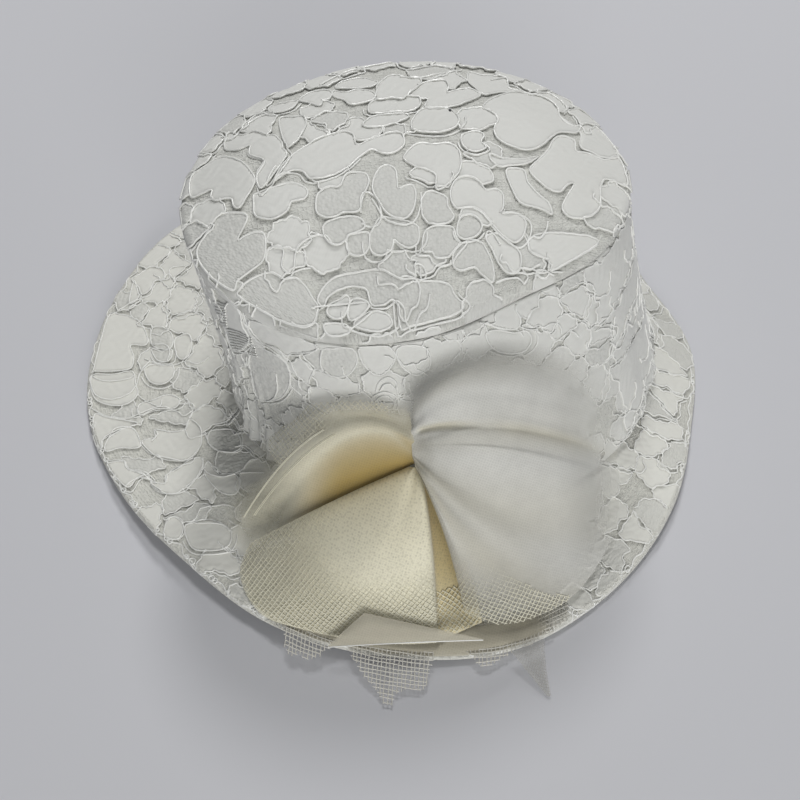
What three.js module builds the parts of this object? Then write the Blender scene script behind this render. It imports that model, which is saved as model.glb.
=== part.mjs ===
// A baby's christening hat: an oval crown and a brim of stiff cloth covered in corded lace,
// with a gathered bow of tulle and coarse net sewn to one side of the crown.
// Millimetres, +Z up. The hat rests on its brim. The bow looks towards -Y and the wide front
// of the brim towards -X.
import * as THREE from 'three';

// Cloth
const WALL = 2; // lace over stiff cloth
const HEM = 3.2; // rolled edge of the brim
const NET = 1; // a bow layer of tulle and net
const SEAM_GAP = 0.3; // between pieces that are sewn together

// Crown
const FOOT = { x: 18, y: 8, halfLength: 79, halfWidth: 68 };
const TOP = { x: 8, y: 19, halfLength: 75, halfWidth: 64 };
const FOOT_FLARE = 2.5; // the lace turns out where it meets the brim
const WAIST = 1.5; // the wall is a little hollow between foot and top
const DOME = 9; // rise of the tip over its seam
const DOME_FULLNESS = 2.6; // how flat the dome is in its middle
const TIP_OVERHANG = 1; // the tip puffs out over the seam
const TIP_ROLL = 3; // height of the puffed roll
// Section of the roll, from the top of the tip round to its underside
const ROLL_SECTION = [
  { share: 0.99, drop: 0.9 },
  { share: 1, drop: 1.7 },
  { share: 0.99, drop: 3.2 },
  { share: 0.95, drop: 3.5 },
];

// For each direction in degrees: heights of the wall's foot and top, how far the wall bulges,
// and how far its top is drawn in
const CROWN = [
  { direction: 0, foot: 15, top: 87, bulge: 1, drawn: 0 },
  { direction: 30, foot: 15, top: 89, bulge: 0, drawn: 0 },
  { direction: 60, foot: 14, top: 91, bulge: 1, drawn: 0 },
  { direction: 90, foot: 14, top: 92, bulge: 0, drawn: 0 },
  { direction: 120, foot: 14, top: 92, bulge: 1, drawn: 0 },
  { direction: 150, foot: 13, top: 92, bulge: 0, drawn: 0 },
  { direction: 180, foot: 12, top: 90, bulge: 2, drawn: 0 },
  { direction: 210, foot: 12, top: 88, bulge: -1, drawn: 1 },
  { direction: 240, foot: 13, top: 86, bulge: 0, drawn: 2 },
  { direction: 270, foot: 14, top: 86, bulge: 0, drawn: 6 },
  { direction: 300, foot: 14, top: 88, bulge: 1, drawn: 10 },
  { direction: 330, foot: 15, top: 88, bulge: 1, drawn: 4 },
];
// Upright creases in the wall: where, how wide in degrees, how deep, and how high up they reach
const CREASES = [
  { direction: 196, width: 5, depth: 1.6, reach: 0.9 },
  { direction: 208, width: 4, depth: 2.2, reach: 0.7 },
  { direction: 219, width: 4, depth: 1.8, reach: 0.6 },
  { direction: 338, width: 5, depth: 1.5, reach: 0.8 },
  { direction: 352, width: 4, depth: 1.2, reach: 0.9 },
];
// Soft hollows and puffs of the tip
const TIP_DENTS = [
  { x: -14, y: -22, radius: 22, rise: -5 },
  { x: 30, y: -8, radius: 26, rise: -2.5 },
  { x: -38, y: 20, radius: 24, rise: 1.5 },
  { x: 52, y: 40, radius: 22, rise: 1.5 },
  { x: 10, y: 48, radius: 26, rise: -1.5 },
];

// Brim: reach of its edge from the hat's middle, and height of the edge's underside, where
// less than nothing means that the edge is pressed flat on the surface
const MIDDLE = { x: 10, y: 10 };
const EDGE = [
  { direction: 0, reach: 105, lift: 0 },
  { direction: 20, reach: 101.5, lift: 0 },
  { direction: 40, reach: 105, lift: 1 },
  { direction: 60, reach: 111, lift: 1.5 },
  { direction: 80, reach: 116, lift: 0 },
  { direction: 100, reach: 119, lift: 0 },
  { direction: 120, reach: 125, lift: 2 },
  { direction: 140, reach: 134, lift: 3 },
  { direction: 160, reach: 135.5, lift: 0.5 },
  { direction: 180, reach: 132, lift: -0.7 },
  { direction: 200, reach: 123.5, lift: 2 },
  { direction: 220, reach: 117.5, lift: 5 },
  { direction: 240, reach: 118.5, lift: 4 },
  { direction: 260, reach: 118.5, lift: 2 },
  { direction: 280, reach: 119, lift: 0 },
  { direction: 300, reach: 114, lift: 0 },
  { direction: 320, reach: 108.5, lift: 1 },
  { direction: 340, reach: 103.5, lift: 0.5 },
];
const BRIM_SAG = 1.5; // the brim bellies down between crown and edge
const BRIM_WAVE = 1.2; // slow waves along it
const HEM_START = 0.95; // share of the brim's width where the hem begins

// Bow. A fold runs from the gather through mid to end; the rows go across the cloth.
const LEFT_WING = [
  { fold: 'pocket edge', start: [-3.5, -59, 45], mid: [-26, -58.5, 25], end: [-55, -72, 10.5] },
  { fold: 'pocket floor', start: [-3.6, -58, 49], mid: [-27, -52, 29], end: [-57, -63, 12] },
  { fold: 'band front', start: [-4, -58.5, 54], mid: [-31, -57, 42], end: [-63, -61, 15] },
  { fold: 'band ridge', start: [-4.5, -58, 64], mid: [-34, -54, 49], end: [-66, -59, 17] },
  { fold: 'band back', start: [-6, -55, 69], mid: [-37, -48, 47], end: [-68, -53, 15] },
  { fold: 'veil', start: [-7, -51.5, 71], mid: [-41, -43, 40], end: [-69, -46, 13] },
];
const FRONT_PANEL = [
  { fold: 'ridge', start: [-2, -60, 44], mid: [-27, -64, 33], end: [-57, -80, 12.5] },
  { fold: 'left edge', start: [-1, -60.7, 44], mid: [-21, -76, 33], end: [-47, -97, 10.5] },
  { fold: 'left middle', start: [1, -60.9, 44.6], mid: [-12, -81, 33], end: [-27, -102, 10] },
  { fold: 'right middle', start: [3, -60.8, 44], mid: [-3, -82, 32], end: [-8, -104, 9.5] },
  { fold: 'right ridge', start: [5, -61, 43], mid: [5, -79, 28], end: [5, -101, 10] },
  { fold: 'valley', start: [6, -60, 41], mid: [9, -73, 20], end: [12, -95, 9.5] },
];
const RIGHT_WING = [
  { fold: 'top veil', start: [6, -52, 71], mid: [24, -46.5, 74], end: [55, -40, 64] },
  { fold: 'upper fold', start: [6, -56, 70], mid: [30, -55, 65], end: [72, -40, 47] },
  { fold: 'upper valley', start: [5.6, -57.5, 65], mid: [34, -60, 53], end: [77, -42, 28] },
  { fold: 'puff', start: [5, -60, 60], mid: [38, -71, 42], end: [76, -57, 14] },
  { fold: 'right middle', start: [4.4, -60.6, 55], mid: [34, -81, 37], end: [67, -77, 11.5] },
  { fold: 'low middle', start: [4, -60.9, 51], mid: [27, -86, 35], end: [50, -93, 11] },
  { fold: 'low left', start: [4, -61, 48.5], mid: [17, -85, 34], end: [32, -98, 10.5] },
  { fold: 'left edge', start: [4.6, -62.3, 46.3], mid: [11, -80, 35], end: [17, -99, 12] },
  { fold: 'turned under', start: [5.8, -60.6, 46], mid: [15, -77, 27], end: [22, -95, 9.5] },
];
const WING_PLEAT = 0.6; // small pleats that fan out from the gather
// Coarse net of the front panel: openings across it and along it, and where the net begins
const PANEL_NET = { across: 10, along: 5, begins: 0.56 };
// Flaps of coarse net under the fan: how far each reaches past the brim's edge
const FLAPS = [
  { from: 241, to: 243, reach: -3 },
  { from: 243, to: 250, reach: 8 },
  { from: 250, to: 254, reach: -2 },
  { from: 254, to: 257, reach: 6 },
  { from: 257, to: 260, reach: 12 },
  { from: 260, to: 263, reach: 19 },
  { from: 263, to: 266, reach: 9 },
  { from: 266, to: 271, reach: -2 },
  { from: 271, to: 275, reach: 9 },
  { from: 275, to: 280, reach: 5 },
  { from: 280, to: 284, reach: -2 },
  { from: 284, to: 289, reach: 3 },
];
const FLAP_CELL = 2.4; // width of a thread bundle or an opening in the flaps
const FLAP_INSET = 11; // how far the flaps run back over the brim
const FLAP_DROOP = { from: 1.5, slope: 0.28, lowest: 1.2 }; // how a flap hangs past the edge
const FLAP_CLEARANCE = 0.7; // over the brim
const CORNER = { left: [-35, -107.5, 12], right: [20, -108, 11], apex: [-17, -98.5, 18.5] };
const CORNER_PEAK = 0.33; // where along the corner its apex stands
const CORNER_TIP = 0.12; // height of its two tips, as a share of the apex
const PINCH = { x: 1.2, y: -55.6, z: 51, width: 8.6, depth: 11.6, height: 20 };

// The drawing's middle is moved this far along X, to the middle of the whole outline
const STAND = 4;

// Mesh fineness
const TURN = 44; // steps round the crown
const BRIM_TURN = 56; // steps round the brim
const WALL_HEIGHTS = [0, 0.08, 0.22, 0.4, 0.6, 0.8, 1];
const TIP_SHARES = [0.25, 0.48, 0.68, 0.84, 0.95];
const BRIM_SHARES = [0, 0.12, 0.35, 0.58, 0.8, HEM_START, 1];
const PANEL_PLAIN_ROWS = 5;

const radians = THREE.MathUtils.degToRad;
const lerp = THREE.MathUtils.lerp;

// A smooth curve through four neighbours, between the second and the third
function smooth(a, b, c, d, t) {
  const slopeIn = (c - a) / 2;
  const slopeOut = (d - b) / 2;
  const bend = 3 * (c - b) - 2 * slopeIn - slopeOut;
  const twist = 2 * (b - c) + slopeIn + slopeOut;
  return b + t * (slopeIn + t * (bend + t * twist));
}

// A table's column read at any direction, where the rows stand at even steps of a full turn
function around(rows, column, degrees) {
  const place = (((degrees % 360) + 360) % 360) / (360 / rows.length);
  const row = Math.floor(place);
  const value = (k) => rows[(row + k + rows.length) % rows.length][column];
  return smooth(value(-1), value(0), value(1), value(2), place - row);
}

// Rows of points read at any share of the way across them
function across(rows, column, share) {
  const place = Math.min(share * (rows.length - 1), rows.length - 1 - 1e-9);
  const row = Math.floor(place);
  const value = (k, axis) => rows[THREE.MathUtils.clamp(row + k, 0, rows.length - 1)][column][axis];
  const read = (axis) =>
    smooth(value(-1, axis), value(0, axis), value(1, axis), value(2, axis), place - row);
  return new THREE.Vector3(read(0), read(1), read(2));
}

function geometryFrom(points, faces) {
  const geometry = new THREE.BufferGeometry();
  geometry.setAttribute(
    'position',
    new THREE.Float32BufferAttribute(points.flatMap((p) => [p.x, p.y, p.z]), 3),
  );
  geometry.setIndex(faces);
  geometry.computeVertexNormals();
  return geometry;
}

// A ring whose closed section is swept once round: section(direction) lists its points
function ringGeometry(steps, section) {
  const points = [];
  const faces = [];
  const count = section(0).length;
  for (let step = 0; step < steps; step++) points.push(...section((360 * step) / steps));
  for (let step = 0; step < steps; step++) {
    const here = step * count;
    const next = ((step + 1) % steps) * count;
    for (let k = 0; k < count; k++) {
      const after = (k + 1) % count;
      faces.push(here + k, next + k, next + after);
      faces.push(here + k, next + after, here + after);
    }
  }
  return geometryFrom(points, faces);
}

// A cap that is closed over a middle point above and one below: section(direction) goes from
// the top middle outwards and back under to the bottom middle, both left out
function capGeometry(steps, topMiddle, section, bottomMiddle) {
  const points = [topMiddle, bottomMiddle];
  const faces = [];
  const count = section(0).length;
  for (let step = 0; step < steps; step++) points.push(...section((360 * step) / steps));
  for (let step = 0; step < steps; step++) {
    const here = 2 + step * count;
    const next = 2 + ((step + 1) % steps) * count;
    faces.push(0, here, next);
    faces.push(1, next + count - 1, here + count - 1);
    for (let k = 0; k < count - 1; k++) {
      faces.push(here + k, here + k + 1, next + k + 1);
      faces.push(here + k, next + k + 1, next + k);
    }
  }
  return geometryFrom(points, faces);
}

// A sheet of cloth with a thickness. point(u, v) gives its middle surface, and keep(i, j)
// says which of its cells are cloth; the others are open.
function sheetGeometry(columns, rows, thickness, point, keep = () => true) {
  const middle = [];
  for (let j = 0; j <= rows; j++) {
    for (let i = 0; i <= columns; i++) middle.push(point(i / columns, j / rows));
  }
  const at = (i, j) =>
    middle[
      THREE.MathUtils.clamp(j, 0, rows) * (columns + 1) + THREE.MathUtils.clamp(i, 0, columns)
    ];
  const points = [];
  const places = new Map();
  function corner(i, j, side) {
    const key = `${i} ${j} ${side}`;
    if (!places.has(key)) {
      const alongRow = at(i + 1, j).clone().sub(at(i - 1, j));
      const upColumn = at(i, j + 1).clone().sub(at(i, j - 1));
      const normal = alongRow.cross(upColumn).normalize();
      points.push(at(i, j).clone().addScaledVector(normal, (side * thickness) / 2));
      places.set(key, points.length - 1);
    }
    return places.get(key);
  }
  const isCloth = (i, j) => i >= 0 && j >= 0 && i < columns && j < rows && keep(i, j);
  const faces = [];
  const quad = (a, b, c, d) => faces.push(a, b, c, a, c, d);
  function edge(i, j, nextI, nextJ) {
    quad(corner(i, j, 1), corner(i, j, -1), corner(nextI, nextJ, -1), corner(nextI, nextJ, 1));
  }
  for (let j = 0; j < rows; j++) {
    for (let i = 0; i < columns; i++) {
      if (!isCloth(i, j)) continue;
      const ring = [[i, j], [i + 1, j], [i + 1, j + 1], [i, j + 1]];
      quad(...ring.map(([a, b]) => corner(a, b, 1)));
      quad(...ring.reverse().map(([a, b]) => corner(a, b, -1)));
      if (!isCloth(i, j - 1)) edge(i, j, i + 1, j);
      if (!isCloth(i + 1, j)) edge(i + 1, j, i + 1, j + 1);
      if (!isCloth(i, j + 1)) edge(i + 1, j + 1, i, j + 1);
      if (!isCloth(i - 1, j)) edge(i, j + 1, i, j);
    }
  }
  return geometryFrom(points, faces);
}

// Crown
function creaseDepth(degrees, height) {
  let depth = 0;
  for (const crease of CREASES) {
    const off = ((degrees - crease.direction + 540) % 360) - 180;
    const fade = Math.max(0, 1 - height / crease.reach);
    depth += crease.depth * fade * Math.exp(-((off / crease.width) ** 2));
  }
  return depth;
}

// A point of the wall's outside, pushed in by inset; height runs from 0 at the foot to 1
function wallPoint(degrees, height, inset) {
  const angle = radians(degrees);
  const flare = FOOT_FLARE * (1 - height) ** 8;
  const bulge = around(CROWN, 'bulge', degrees) * Math.sin(Math.PI * height);
  const waist = WAIST * Math.sin(Math.PI * height);
  const drawn = around(CROWN, 'drawn', degrees) * height ** 2;
  const out = flare + bulge - waist - drawn - creaseDepth(degrees, height) - inset;
  const foot = around(CROWN, 'foot', degrees) + SEAM_GAP;
  const top = around(CROWN, 'top', degrees);
  return new THREE.Vector3(
    lerp(FOOT.x, TOP.x, height) +
      (lerp(FOOT.halfLength, TOP.halfLength, height) + out) * Math.cos(angle),
    lerp(FOOT.y, TOP.y, height) +
      (lerp(FOOT.halfWidth, TOP.halfWidth, height) + out) * Math.sin(angle),
    lerp(foot, top, height),
  );
}

function crownSide() {
  return ringGeometry(TURN, (degrees) => [
    ...WALL_HEIGHTS.map((height) => wallPoint(degrees, height, 0)),
    ...WALL_HEIGHTS.toReversed().map((height) => wallPoint(degrees, height, WALL)),
  ]);
}

function tipRise(x, y, share) {
  let rise = DOME * (1 - share ** DOME_FULLNESS);
  const hold = 1 - share ** 6; // the seam holds the edge in place
  for (const dent of TIP_DENTS) {
    const away = Math.hypot(x - dent.x, y - dent.y) / dent.radius;
    rise += hold * dent.rise * Math.exp(-(away ** 2));
  }
  return rise;
}

// A point of the tip's outside at a share of the way from its middle to its edge
function tipPoint(degrees, share, drop) {
  const angle = radians(degrees);
  const past = TIP_OVERHANG - around(CROWN, 'drawn', degrees) * share;
  const x = TOP.x + (TOP.halfLength + past) * share * Math.cos(angle);
  const y = TOP.y + (TOP.halfWidth + past) * share * Math.sin(angle);
  const level = lerp(around(CROWN, 'top', 90), around(CROWN, 'top', degrees), share ** 2);
  return new THREE.Vector3(x, y, level + SEAM_GAP + TIP_ROLL + tipRise(x, y, share) - drop);
}

function crownTip() {
  return capGeometry(
    TURN,
    tipPoint(0, 0, 0),
    (degrees) => [
      ...TIP_SHARES.map((share) => tipPoint(degrees, share, 0)),
      ...ROLL_SECTION.map(({ share, drop }) => tipPoint(degrees, share, drop)),
      ...TIP_SHARES.slice(0, -1).toReversed().map((share) => tipPoint(degrees, share, WALL)),
    ],
    tipPoint(0, 0, WALL),
  );
}

// Brim
const liftAt = (degrees) => Math.max(0, around(EDGE, 'lift', degrees));

function edgePoint(degrees, reachPast) {
  const angle = radians(degrees);
  const reach = around(EDGE, 'reach', degrees) + reachPast;
  return { x: MIDDLE.x + reach * Math.cos(angle), y: MIDDLE.y + reach * Math.sin(angle) };
}

// A point of the brim's top; share runs from 0 at the wall's inside to 1 at the edge
function brimTop(degrees, share) {
  const angle = radians(degrees);
  const edge = edgePoint(degrees, 0);
  const innerX = FOOT.x + (FOOT.halfLength - WALL) * Math.cos(angle);
  const innerY = FOOT.y + (FOOT.halfWidth - WALL) * Math.sin(angle);
  const belly = Math.sin(Math.PI * share);
  const wave = BRIM_WAVE * Math.sin(3 * angle + 1) * belly;
  const outer = liftAt(degrees) + HEM;
  return new THREE.Vector3(
    lerp(innerX, edge.x, share),
    lerp(innerY, edge.y, share),
    lerp(around(CROWN, 'foot', degrees), outer, share) - BRIM_SAG * belly + wave,
  );
}

function brim() {
  return ringGeometry(BRIM_TURN, (degrees) => {
    const top = BRIM_SHARES.map((share) => brimTop(degrees, share));
    const under = BRIM_SHARES.map((share) => {
      const point = brimTop(degrees, share);
      const lift = liftAt(degrees);
      point.z = share >= HEM_START ? lift : Math.max(point.z - WALL, lift);
      return point;
    });
    const rim = top.at(-1).clone();
    const past = edgePoint(degrees, 1);
    rim.set(past.x, past.y, rim.z - HEM / 2);
    return [...under, rim, ...top.toReversed()];
  });
}

// Bow
function foldPoint(rows, u, v) {
  const start = across(rows, 'start', u).multiplyScalar((1 - v) * (1 - 2 * v));
  const mid = across(rows, 'mid', u).multiplyScalar(4 * v * (1 - v));
  const end = across(rows, 'end', u).multiplyScalar(v * (2 * v - 1));
  return start.add(mid).add(end);
}

function pleated(rows, pleats) {
  return (u, v) => {
    const point = foldPoint(rows, u, v);
    point.z += WING_PLEAT * Math.sin(Math.PI * v) * Math.sin(2 * Math.PI * pleats * u);
    return point;
  };
}

function frontPanel() {
  const columns = 2 * PANEL_NET.across + 1;
  const netRows = 2 * PANEL_NET.along + 1;
  const rows = PANEL_PLAIN_ROWS + netRows;
  const point = (u, v) => {
    const row = v * rows;
    const share =
      row < PANEL_PLAIN_ROWS
        ? (PANEL_NET.begins * row) / PANEL_PLAIN_ROWS
        : lerp(PANEL_NET.begins, 1, (row - PANEL_PLAIN_ROWS) / netRows);
    return foldPoint(FRONT_PANEL, u, share);
  };
  const keep = (i, j) =>
    j < PANEL_PLAIN_ROWS || i % 2 === 0 || (j - PANEL_PLAIN_ROWS) % 2 === 0;
  return sheetGeometry(columns, rows, NET, point, keep);
}

function flaps() {
  const from = FLAPS[0].from;
  const to = FLAPS.at(-1).to;
  const edgeLength = radians(to - from) * around(EDGE, 'reach', (from + to) / 2);
  const columns = 2 * Math.round(edgeLength / FLAP_CELL / 2) + 1;
  const longest = Math.max(...FLAPS.map((flap) => flap.reach));
  const rows = Math.ceil((FLAP_INSET + longest) / FLAP_CELL);
  const directionAt = (u) => lerp(from, to, u);
  const rowsAt = (i) => {
    const direction = directionAt((i + 0.5) / columns);
    const flap = FLAPS.find((row) => direction <= row.to);
    const cells = Math.floor((FLAP_INSET + flap.reach) / FLAP_CELL / 2);
    return 2 * cells + 1;
  };
  const limit = (i) => {
    if (i % 2 === 1) return rowsAt(i);
    return Math.max(rowsAt(Math.max(i - 1, 1)), rowsAt(Math.min(i + 1, columns - 2)));
  };
  const keep = (i, j) => j < Math.min(limit(i), rows) && (i % 2 === 0 || j % 2 === 0);
  const point = (u, v) => {
    const degrees = directionAt(u);
    const past = v * rows * FLAP_CELL - FLAP_INSET;
    const place = edgePoint(degrees, past);
    const width = around(EDGE, 'reach', degrees) - (FOOT.halfWidth - WALL);
    const share = THREE.MathUtils.clamp(1 + past / width, 0, 1);
    const droop = FLAP_DROOP.slope * Math.max(0, past - FLAP_DROOP.from);
    const rest = brimTop(degrees, share).z + FLAP_CLEARANCE + NET / 2 - droop;
    return new THREE.Vector3(place.x, place.y, Math.max(rest, FLAP_DROOP.lowest));
  };
  return sheetGeometry(columns, rows, NET, point, keep);
}

function foldedCorner() {
  const left = new THREE.Vector3(...CORNER.left);
  const right = new THREE.Vector3(...CORNER.right);
  const apex = new THREE.Vector3(...CORNER.apex);
  const foot = left.clone().lerp(right, CORNER_PEAK);
  const rise = apex.sub(foot);
  return sheetGeometry(12, 3, NET, (u, v) => {
    const slope = u < CORNER_PEAK ? u / CORNER_PEAK : (1 - u) / (1 - CORNER_PEAK);
    const height = lerp(CORNER_TIP, 1, slope);
    return left.clone().lerp(right, u).addScaledVector(rise, v * height);
  });
}

function pinch() {
  const radius = 0.5; // the scale below is then its full size
  const shape = new THREE.SphereGeometry(radius, 12, 8);
  shape.scale(PINCH.width, PINCH.depth, PINCH.height);
  shape.translate(PINCH.x, PINCH.y, PINCH.z);
  return shape;
}

const lace = { color: 0xe9e9e4, roughness: 0.75, metalness: 0 };
const creamLace = { color: 0xe6e6df, roughness: 0.75, metalness: 0 };
const whiteTulle = { color: 0xe4e6e2, roughness: 0.8, metalness: 0 };
const creamNet = { color: 0xd8cfae, roughness: 0.85, metalness: 0 };

const hat = new THREE.Group();
hat.position.x = STAND;

function addPiece(name, geometry, look) {
  const piece = new THREE.Mesh(
    geometry,
    new THREE.MeshStandardMaterial({ ...look, side: THREE.DoubleSide }),
  );
  piece.name = name;
  hat.add(piece);
}

addPiece('crown_tip', crownTip(), lace);
addPiece('crown_side', crownSide(), lace);
addPiece('brim', brim(), creamLace);
addPiece('net_left_wing', sheetGeometry(14, 9, NET, pleated(LEFT_WING, 5)), creamNet);
addPiece('net_front_panel', frontPanel(), creamNet);
addPiece('net_flaps', flaps(), creamNet);
addPiece('net_folded_corner', foldedCorner(), creamNet);
addPiece('net_right_wing', sheetGeometry(22, 9, NET, pleated(RIGHT_WING, 7)), whiteTulle);
addPiece('gathered_pinch', pinch(), creamNet);

export default hat;
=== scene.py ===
import math

import bpy
import numpy as np
from mathutils import Matrix, Vector
from mathutils.bvhtree import BVHTree


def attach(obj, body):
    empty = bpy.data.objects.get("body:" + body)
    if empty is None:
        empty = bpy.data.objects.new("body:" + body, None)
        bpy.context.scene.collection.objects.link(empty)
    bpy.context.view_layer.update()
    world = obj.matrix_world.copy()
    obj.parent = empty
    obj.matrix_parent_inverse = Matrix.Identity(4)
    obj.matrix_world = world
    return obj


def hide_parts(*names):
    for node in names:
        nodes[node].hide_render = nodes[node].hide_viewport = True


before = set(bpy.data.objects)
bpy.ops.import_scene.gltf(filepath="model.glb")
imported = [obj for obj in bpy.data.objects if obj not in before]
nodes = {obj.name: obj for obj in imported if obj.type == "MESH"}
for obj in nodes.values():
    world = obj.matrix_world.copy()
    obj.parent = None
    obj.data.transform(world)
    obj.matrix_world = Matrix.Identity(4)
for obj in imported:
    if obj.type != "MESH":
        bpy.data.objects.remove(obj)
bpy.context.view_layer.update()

# Camera and light. The hat is seen from above the side with the bow, in soft light from
# behind it, from above and from the front, on a plain pale floor.
look_at = Vector((0.004, 0, 0))
elevation = math.radians(54)
roll = math.radians(-5)
view_angle = math.radians(38)
distance = 0.456
HALF_VIEW = 400
stand = look_at + Vector((0, -math.cos(elevation), math.sin(elevation))) * distance
forward = (look_at - stand).normalized()
level_right = Vector((1, 0, 0))
level_up = level_right.cross(forward)
camera_right = math.cos(roll) * level_right + math.sin(roll) * level_up
camera_up = -math.sin(roll) * level_right + math.cos(roll) * level_up
turned = Matrix((camera_right, camera_up, -forward)).transposed().to_4x4()
bpy.ops.object.camera_add()
camera = bpy.context.object
camera.matrix_world = Matrix.Translation(stand) @ turned
camera.data.sensor_fit = "HORIZONTAL"
camera.data.angle = view_angle
camera.data.clip_start = 0.01
bpy.context.scene.camera = camera
bpy.context.scene.view_settings.view_transform = "Standard"


def sight_line(across, down):
    """The line of sight through a place in the 800 by 800 view."""
    reach = HALF_VIEW / math.tan(view_angle / 2)
    side = camera_right * ((across - HALF_VIEW) / reach)
    rise = camera_up * ((HALF_VIEW - down) / reach)
    return (forward + side + rise).normalized()


def soft_light(name, place, size, watts, tint):
    bpy.ops.object.light_add(type="AREA", location=place)
    lamp = bpy.context.object
    lamp.name = name
    lamp.data.shape = "DISK"
    lamp.data.size = size
    lamp.data.energy = watts
    lamp.data.color = tint
    lamp.rotation_mode = "QUATERNION"
    lamp.rotation_quaternion = (-Vector(place)).to_track_quat("-Z", "Y")


def painted(name):
    """A new material, its node tree and the shader of its surface."""
    material = bpy.data.materials.new(name)
    material.use_nodes = True
    tree = material.node_tree
    return material, tree, tree.nodes["Principled BSDF"]


soft_light("window_light", (0.2, 1.35, 1.32), 0.35, 13, (1, 1, 0.99))
soft_light("ceiling_light", (0.15, 0.6, 1.8), 0.45, 10, (1, 1, 0.99))
soft_light("room_light", (0.25, -1.6, 0.4), 1, 16.5, (1, 1, 0.98))
world = bpy.data.worlds.new("room")
world.use_nodes = True
world.node_tree.nodes["Background"].inputs["Color"].default_value = (0.93, 0.96, 1, 1)
world.node_tree.nodes["Background"].inputs["Strength"].default_value = 0.12
bpy.context.scene.world = world

bpy.ops.mesh.primitive_plane_add(size=6, location=(0, 0, -0.0002))
floor = bpy.context.object
floor.name = "floor"
floor_paint, _, floor_shader = painted("pale_floor")
floor_shader.inputs["Base Color"].default_value = (0.62, 0.622, 0.655, 1)
floor_shader.inputs["Roughness"].default_value = 0.9
floor.data.materials.append(floor_paint)

# Crown tip: a domed oval of stiff cloth under corded floral lace. The lace has raised smooth
# and textured petals, each outlined by a couched satin cord, on a ground of small net.
MM = 0.001
STAND = np.array((4, 0, 0))
TOP = {"x": 8, "y": 19, "half_length": 75, "half_width": 64}
CROWN_TOP = (87, 89, 91, 92, 92, 92, 90, 88, 86, 86, 88, 88)
CROWN_DRAWN = (0, 0, 0, 0, 0, 0, 0, 1, 2, 6, 10, 4)
TIP_DENTS = (
    # x, y, radius, rise
    (-14, -22, 22, -5),
    (30, -8, 26, -2.5),
    (-38, 20, 24, 1.5),
    (52, 40, 22, 1.5),
    (10, 48, 26, -1.5),
)
SEAM_GAP = 0.3
TIP_ROLL = 3
PETAL_RISE = 0.85
PETAL_EDGE = 0.6
CORD_STEP = 0.9
CORD_LIFT = 0.22
TIP_RIM = 0.965
TIP_TURN = 0.035


def smooth(a, b, c, d, t):
    slope_in = (c - a) / 2
    slope_out = (d - b) / 2
    bend = 3 * (c - b) - 2 * slope_in - slope_out
    twist = 2 * (b - c) + slope_in + slope_out
    return b + t * (slope_in + t * (bend + t * twist))


def around(values, degrees):
    """Values at even steps of a full turn, read smoothly at any direction."""
    values = np.asarray(values, float)
    place = np.mod(degrees, 360) / (360 / len(values))
    row = np.floor(place).astype(int)
    four = [values[(row + k) % len(values)] for k in (-1, 0, 1, 2)]
    return smooth(*four, place - row)


def shaped_cloth(name, columns, rows, place, cut, closed=False):
    """A grid whose points are set by place(u, v) in millimetres, with its cut as UV metres."""
    bpy.ops.object.select_all(action="DESELECT")
    bpy.ops.mesh.primitive_grid_add(x_subdivisions=columns, y_subdivisions=rows, size=1)
    piece = bpy.context.object
    piece.name = name
    flat = np.empty(len(piece.data.vertices) * 3)
    piece.data.vertices.foreach_get("co", flat)
    flat = flat.reshape(-1, 3)
    points, marks = place(flat[:, 0] + 0.5, flat[:, 1] + 0.5)
    piece.data.vertices.foreach_set("co", ((points + STAND) * MM).ravel())
    for mark, values in marks.items():
        layer = piece.data.attributes.new(mark, "FLOAT", "POINT")
        layer.data.foreach_set("value", values.astype(np.float32))
    laid = piece.data.uv_layers.active.data
    cloth = np.empty(len(laid) * 2, np.float32)
    laid.foreach_get("uv", cloth)
    cloth = cloth.reshape(-1, 2) * np.array(cut, np.float32)
    laid.foreach_set("uv", cloth.ravel())
    if closed:
        bpy.ops.object.mode_set(mode="EDIT")
        bpy.ops.mesh.select_all(action="SELECT")
        bpy.ops.mesh.remove_doubles(threshold=1e-6)
        bpy.ops.mesh.normals_make_consistent(inside=False)
        bpy.ops.object.mode_set(mode="OBJECT")
    bpy.ops.object.shade_smooth()
    return piece


def lobed(cusps, bulge):
    """A closed outline of arcs that swell outwards between their cusps."""
    cusps = np.asarray(cusps, float)
    nexts = np.roll(cusps, -1, 0)
    turn = np.sum(cusps[:, 0] * nexts[:, 1] - nexts[:, 0] * cusps[:, 1])
    arcs = []
    for a, b in zip(cusps, nexts):
        chord = b - a
        length = np.hypot(*chord)
        out = np.array((chord[1], -chord[0])) * np.sign(turn)
        t = np.arange(0, 1, 1 / max(3, round(length / CORD_STEP)))[:, None]
        arcs.append(a + chord * t + out * bulge * 4 * t * (1 - t))
    return np.concatenate(arcs)


def curved(points):
    """An open line that runs smoothly through its points."""
    points = np.asarray(points, float)
    padded = np.concatenate((points[:1], points, points[-1:]))
    runs = []
    for k in range(len(points) - 1):
        a, b, c, d = padded[k : k + 4]
        count = max(2, round(np.hypot(*(c - b)) / CORD_STEP))
        t = (np.arange(count) / count)[:, None]
        runs.append(smooth(a, b, c, d, t))
    return np.concatenate(runs + [points[-1:]])


def ringed(points):
    """A closed outline that runs smoothly through its points."""
    points = np.asarray(points, float)
    runs = []
    for k in range(len(points)):
        four = [points[(k + step) % len(points)] for step in (-1, 0, 1, 2)]
        count = max(2, round(np.hypot(*(four[2] - four[1])) / CORD_STEP))
        t = (np.arange(count) / count)[:, None]
        runs.append(smooth(*four, t))
    return np.concatenate(runs)


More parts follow.
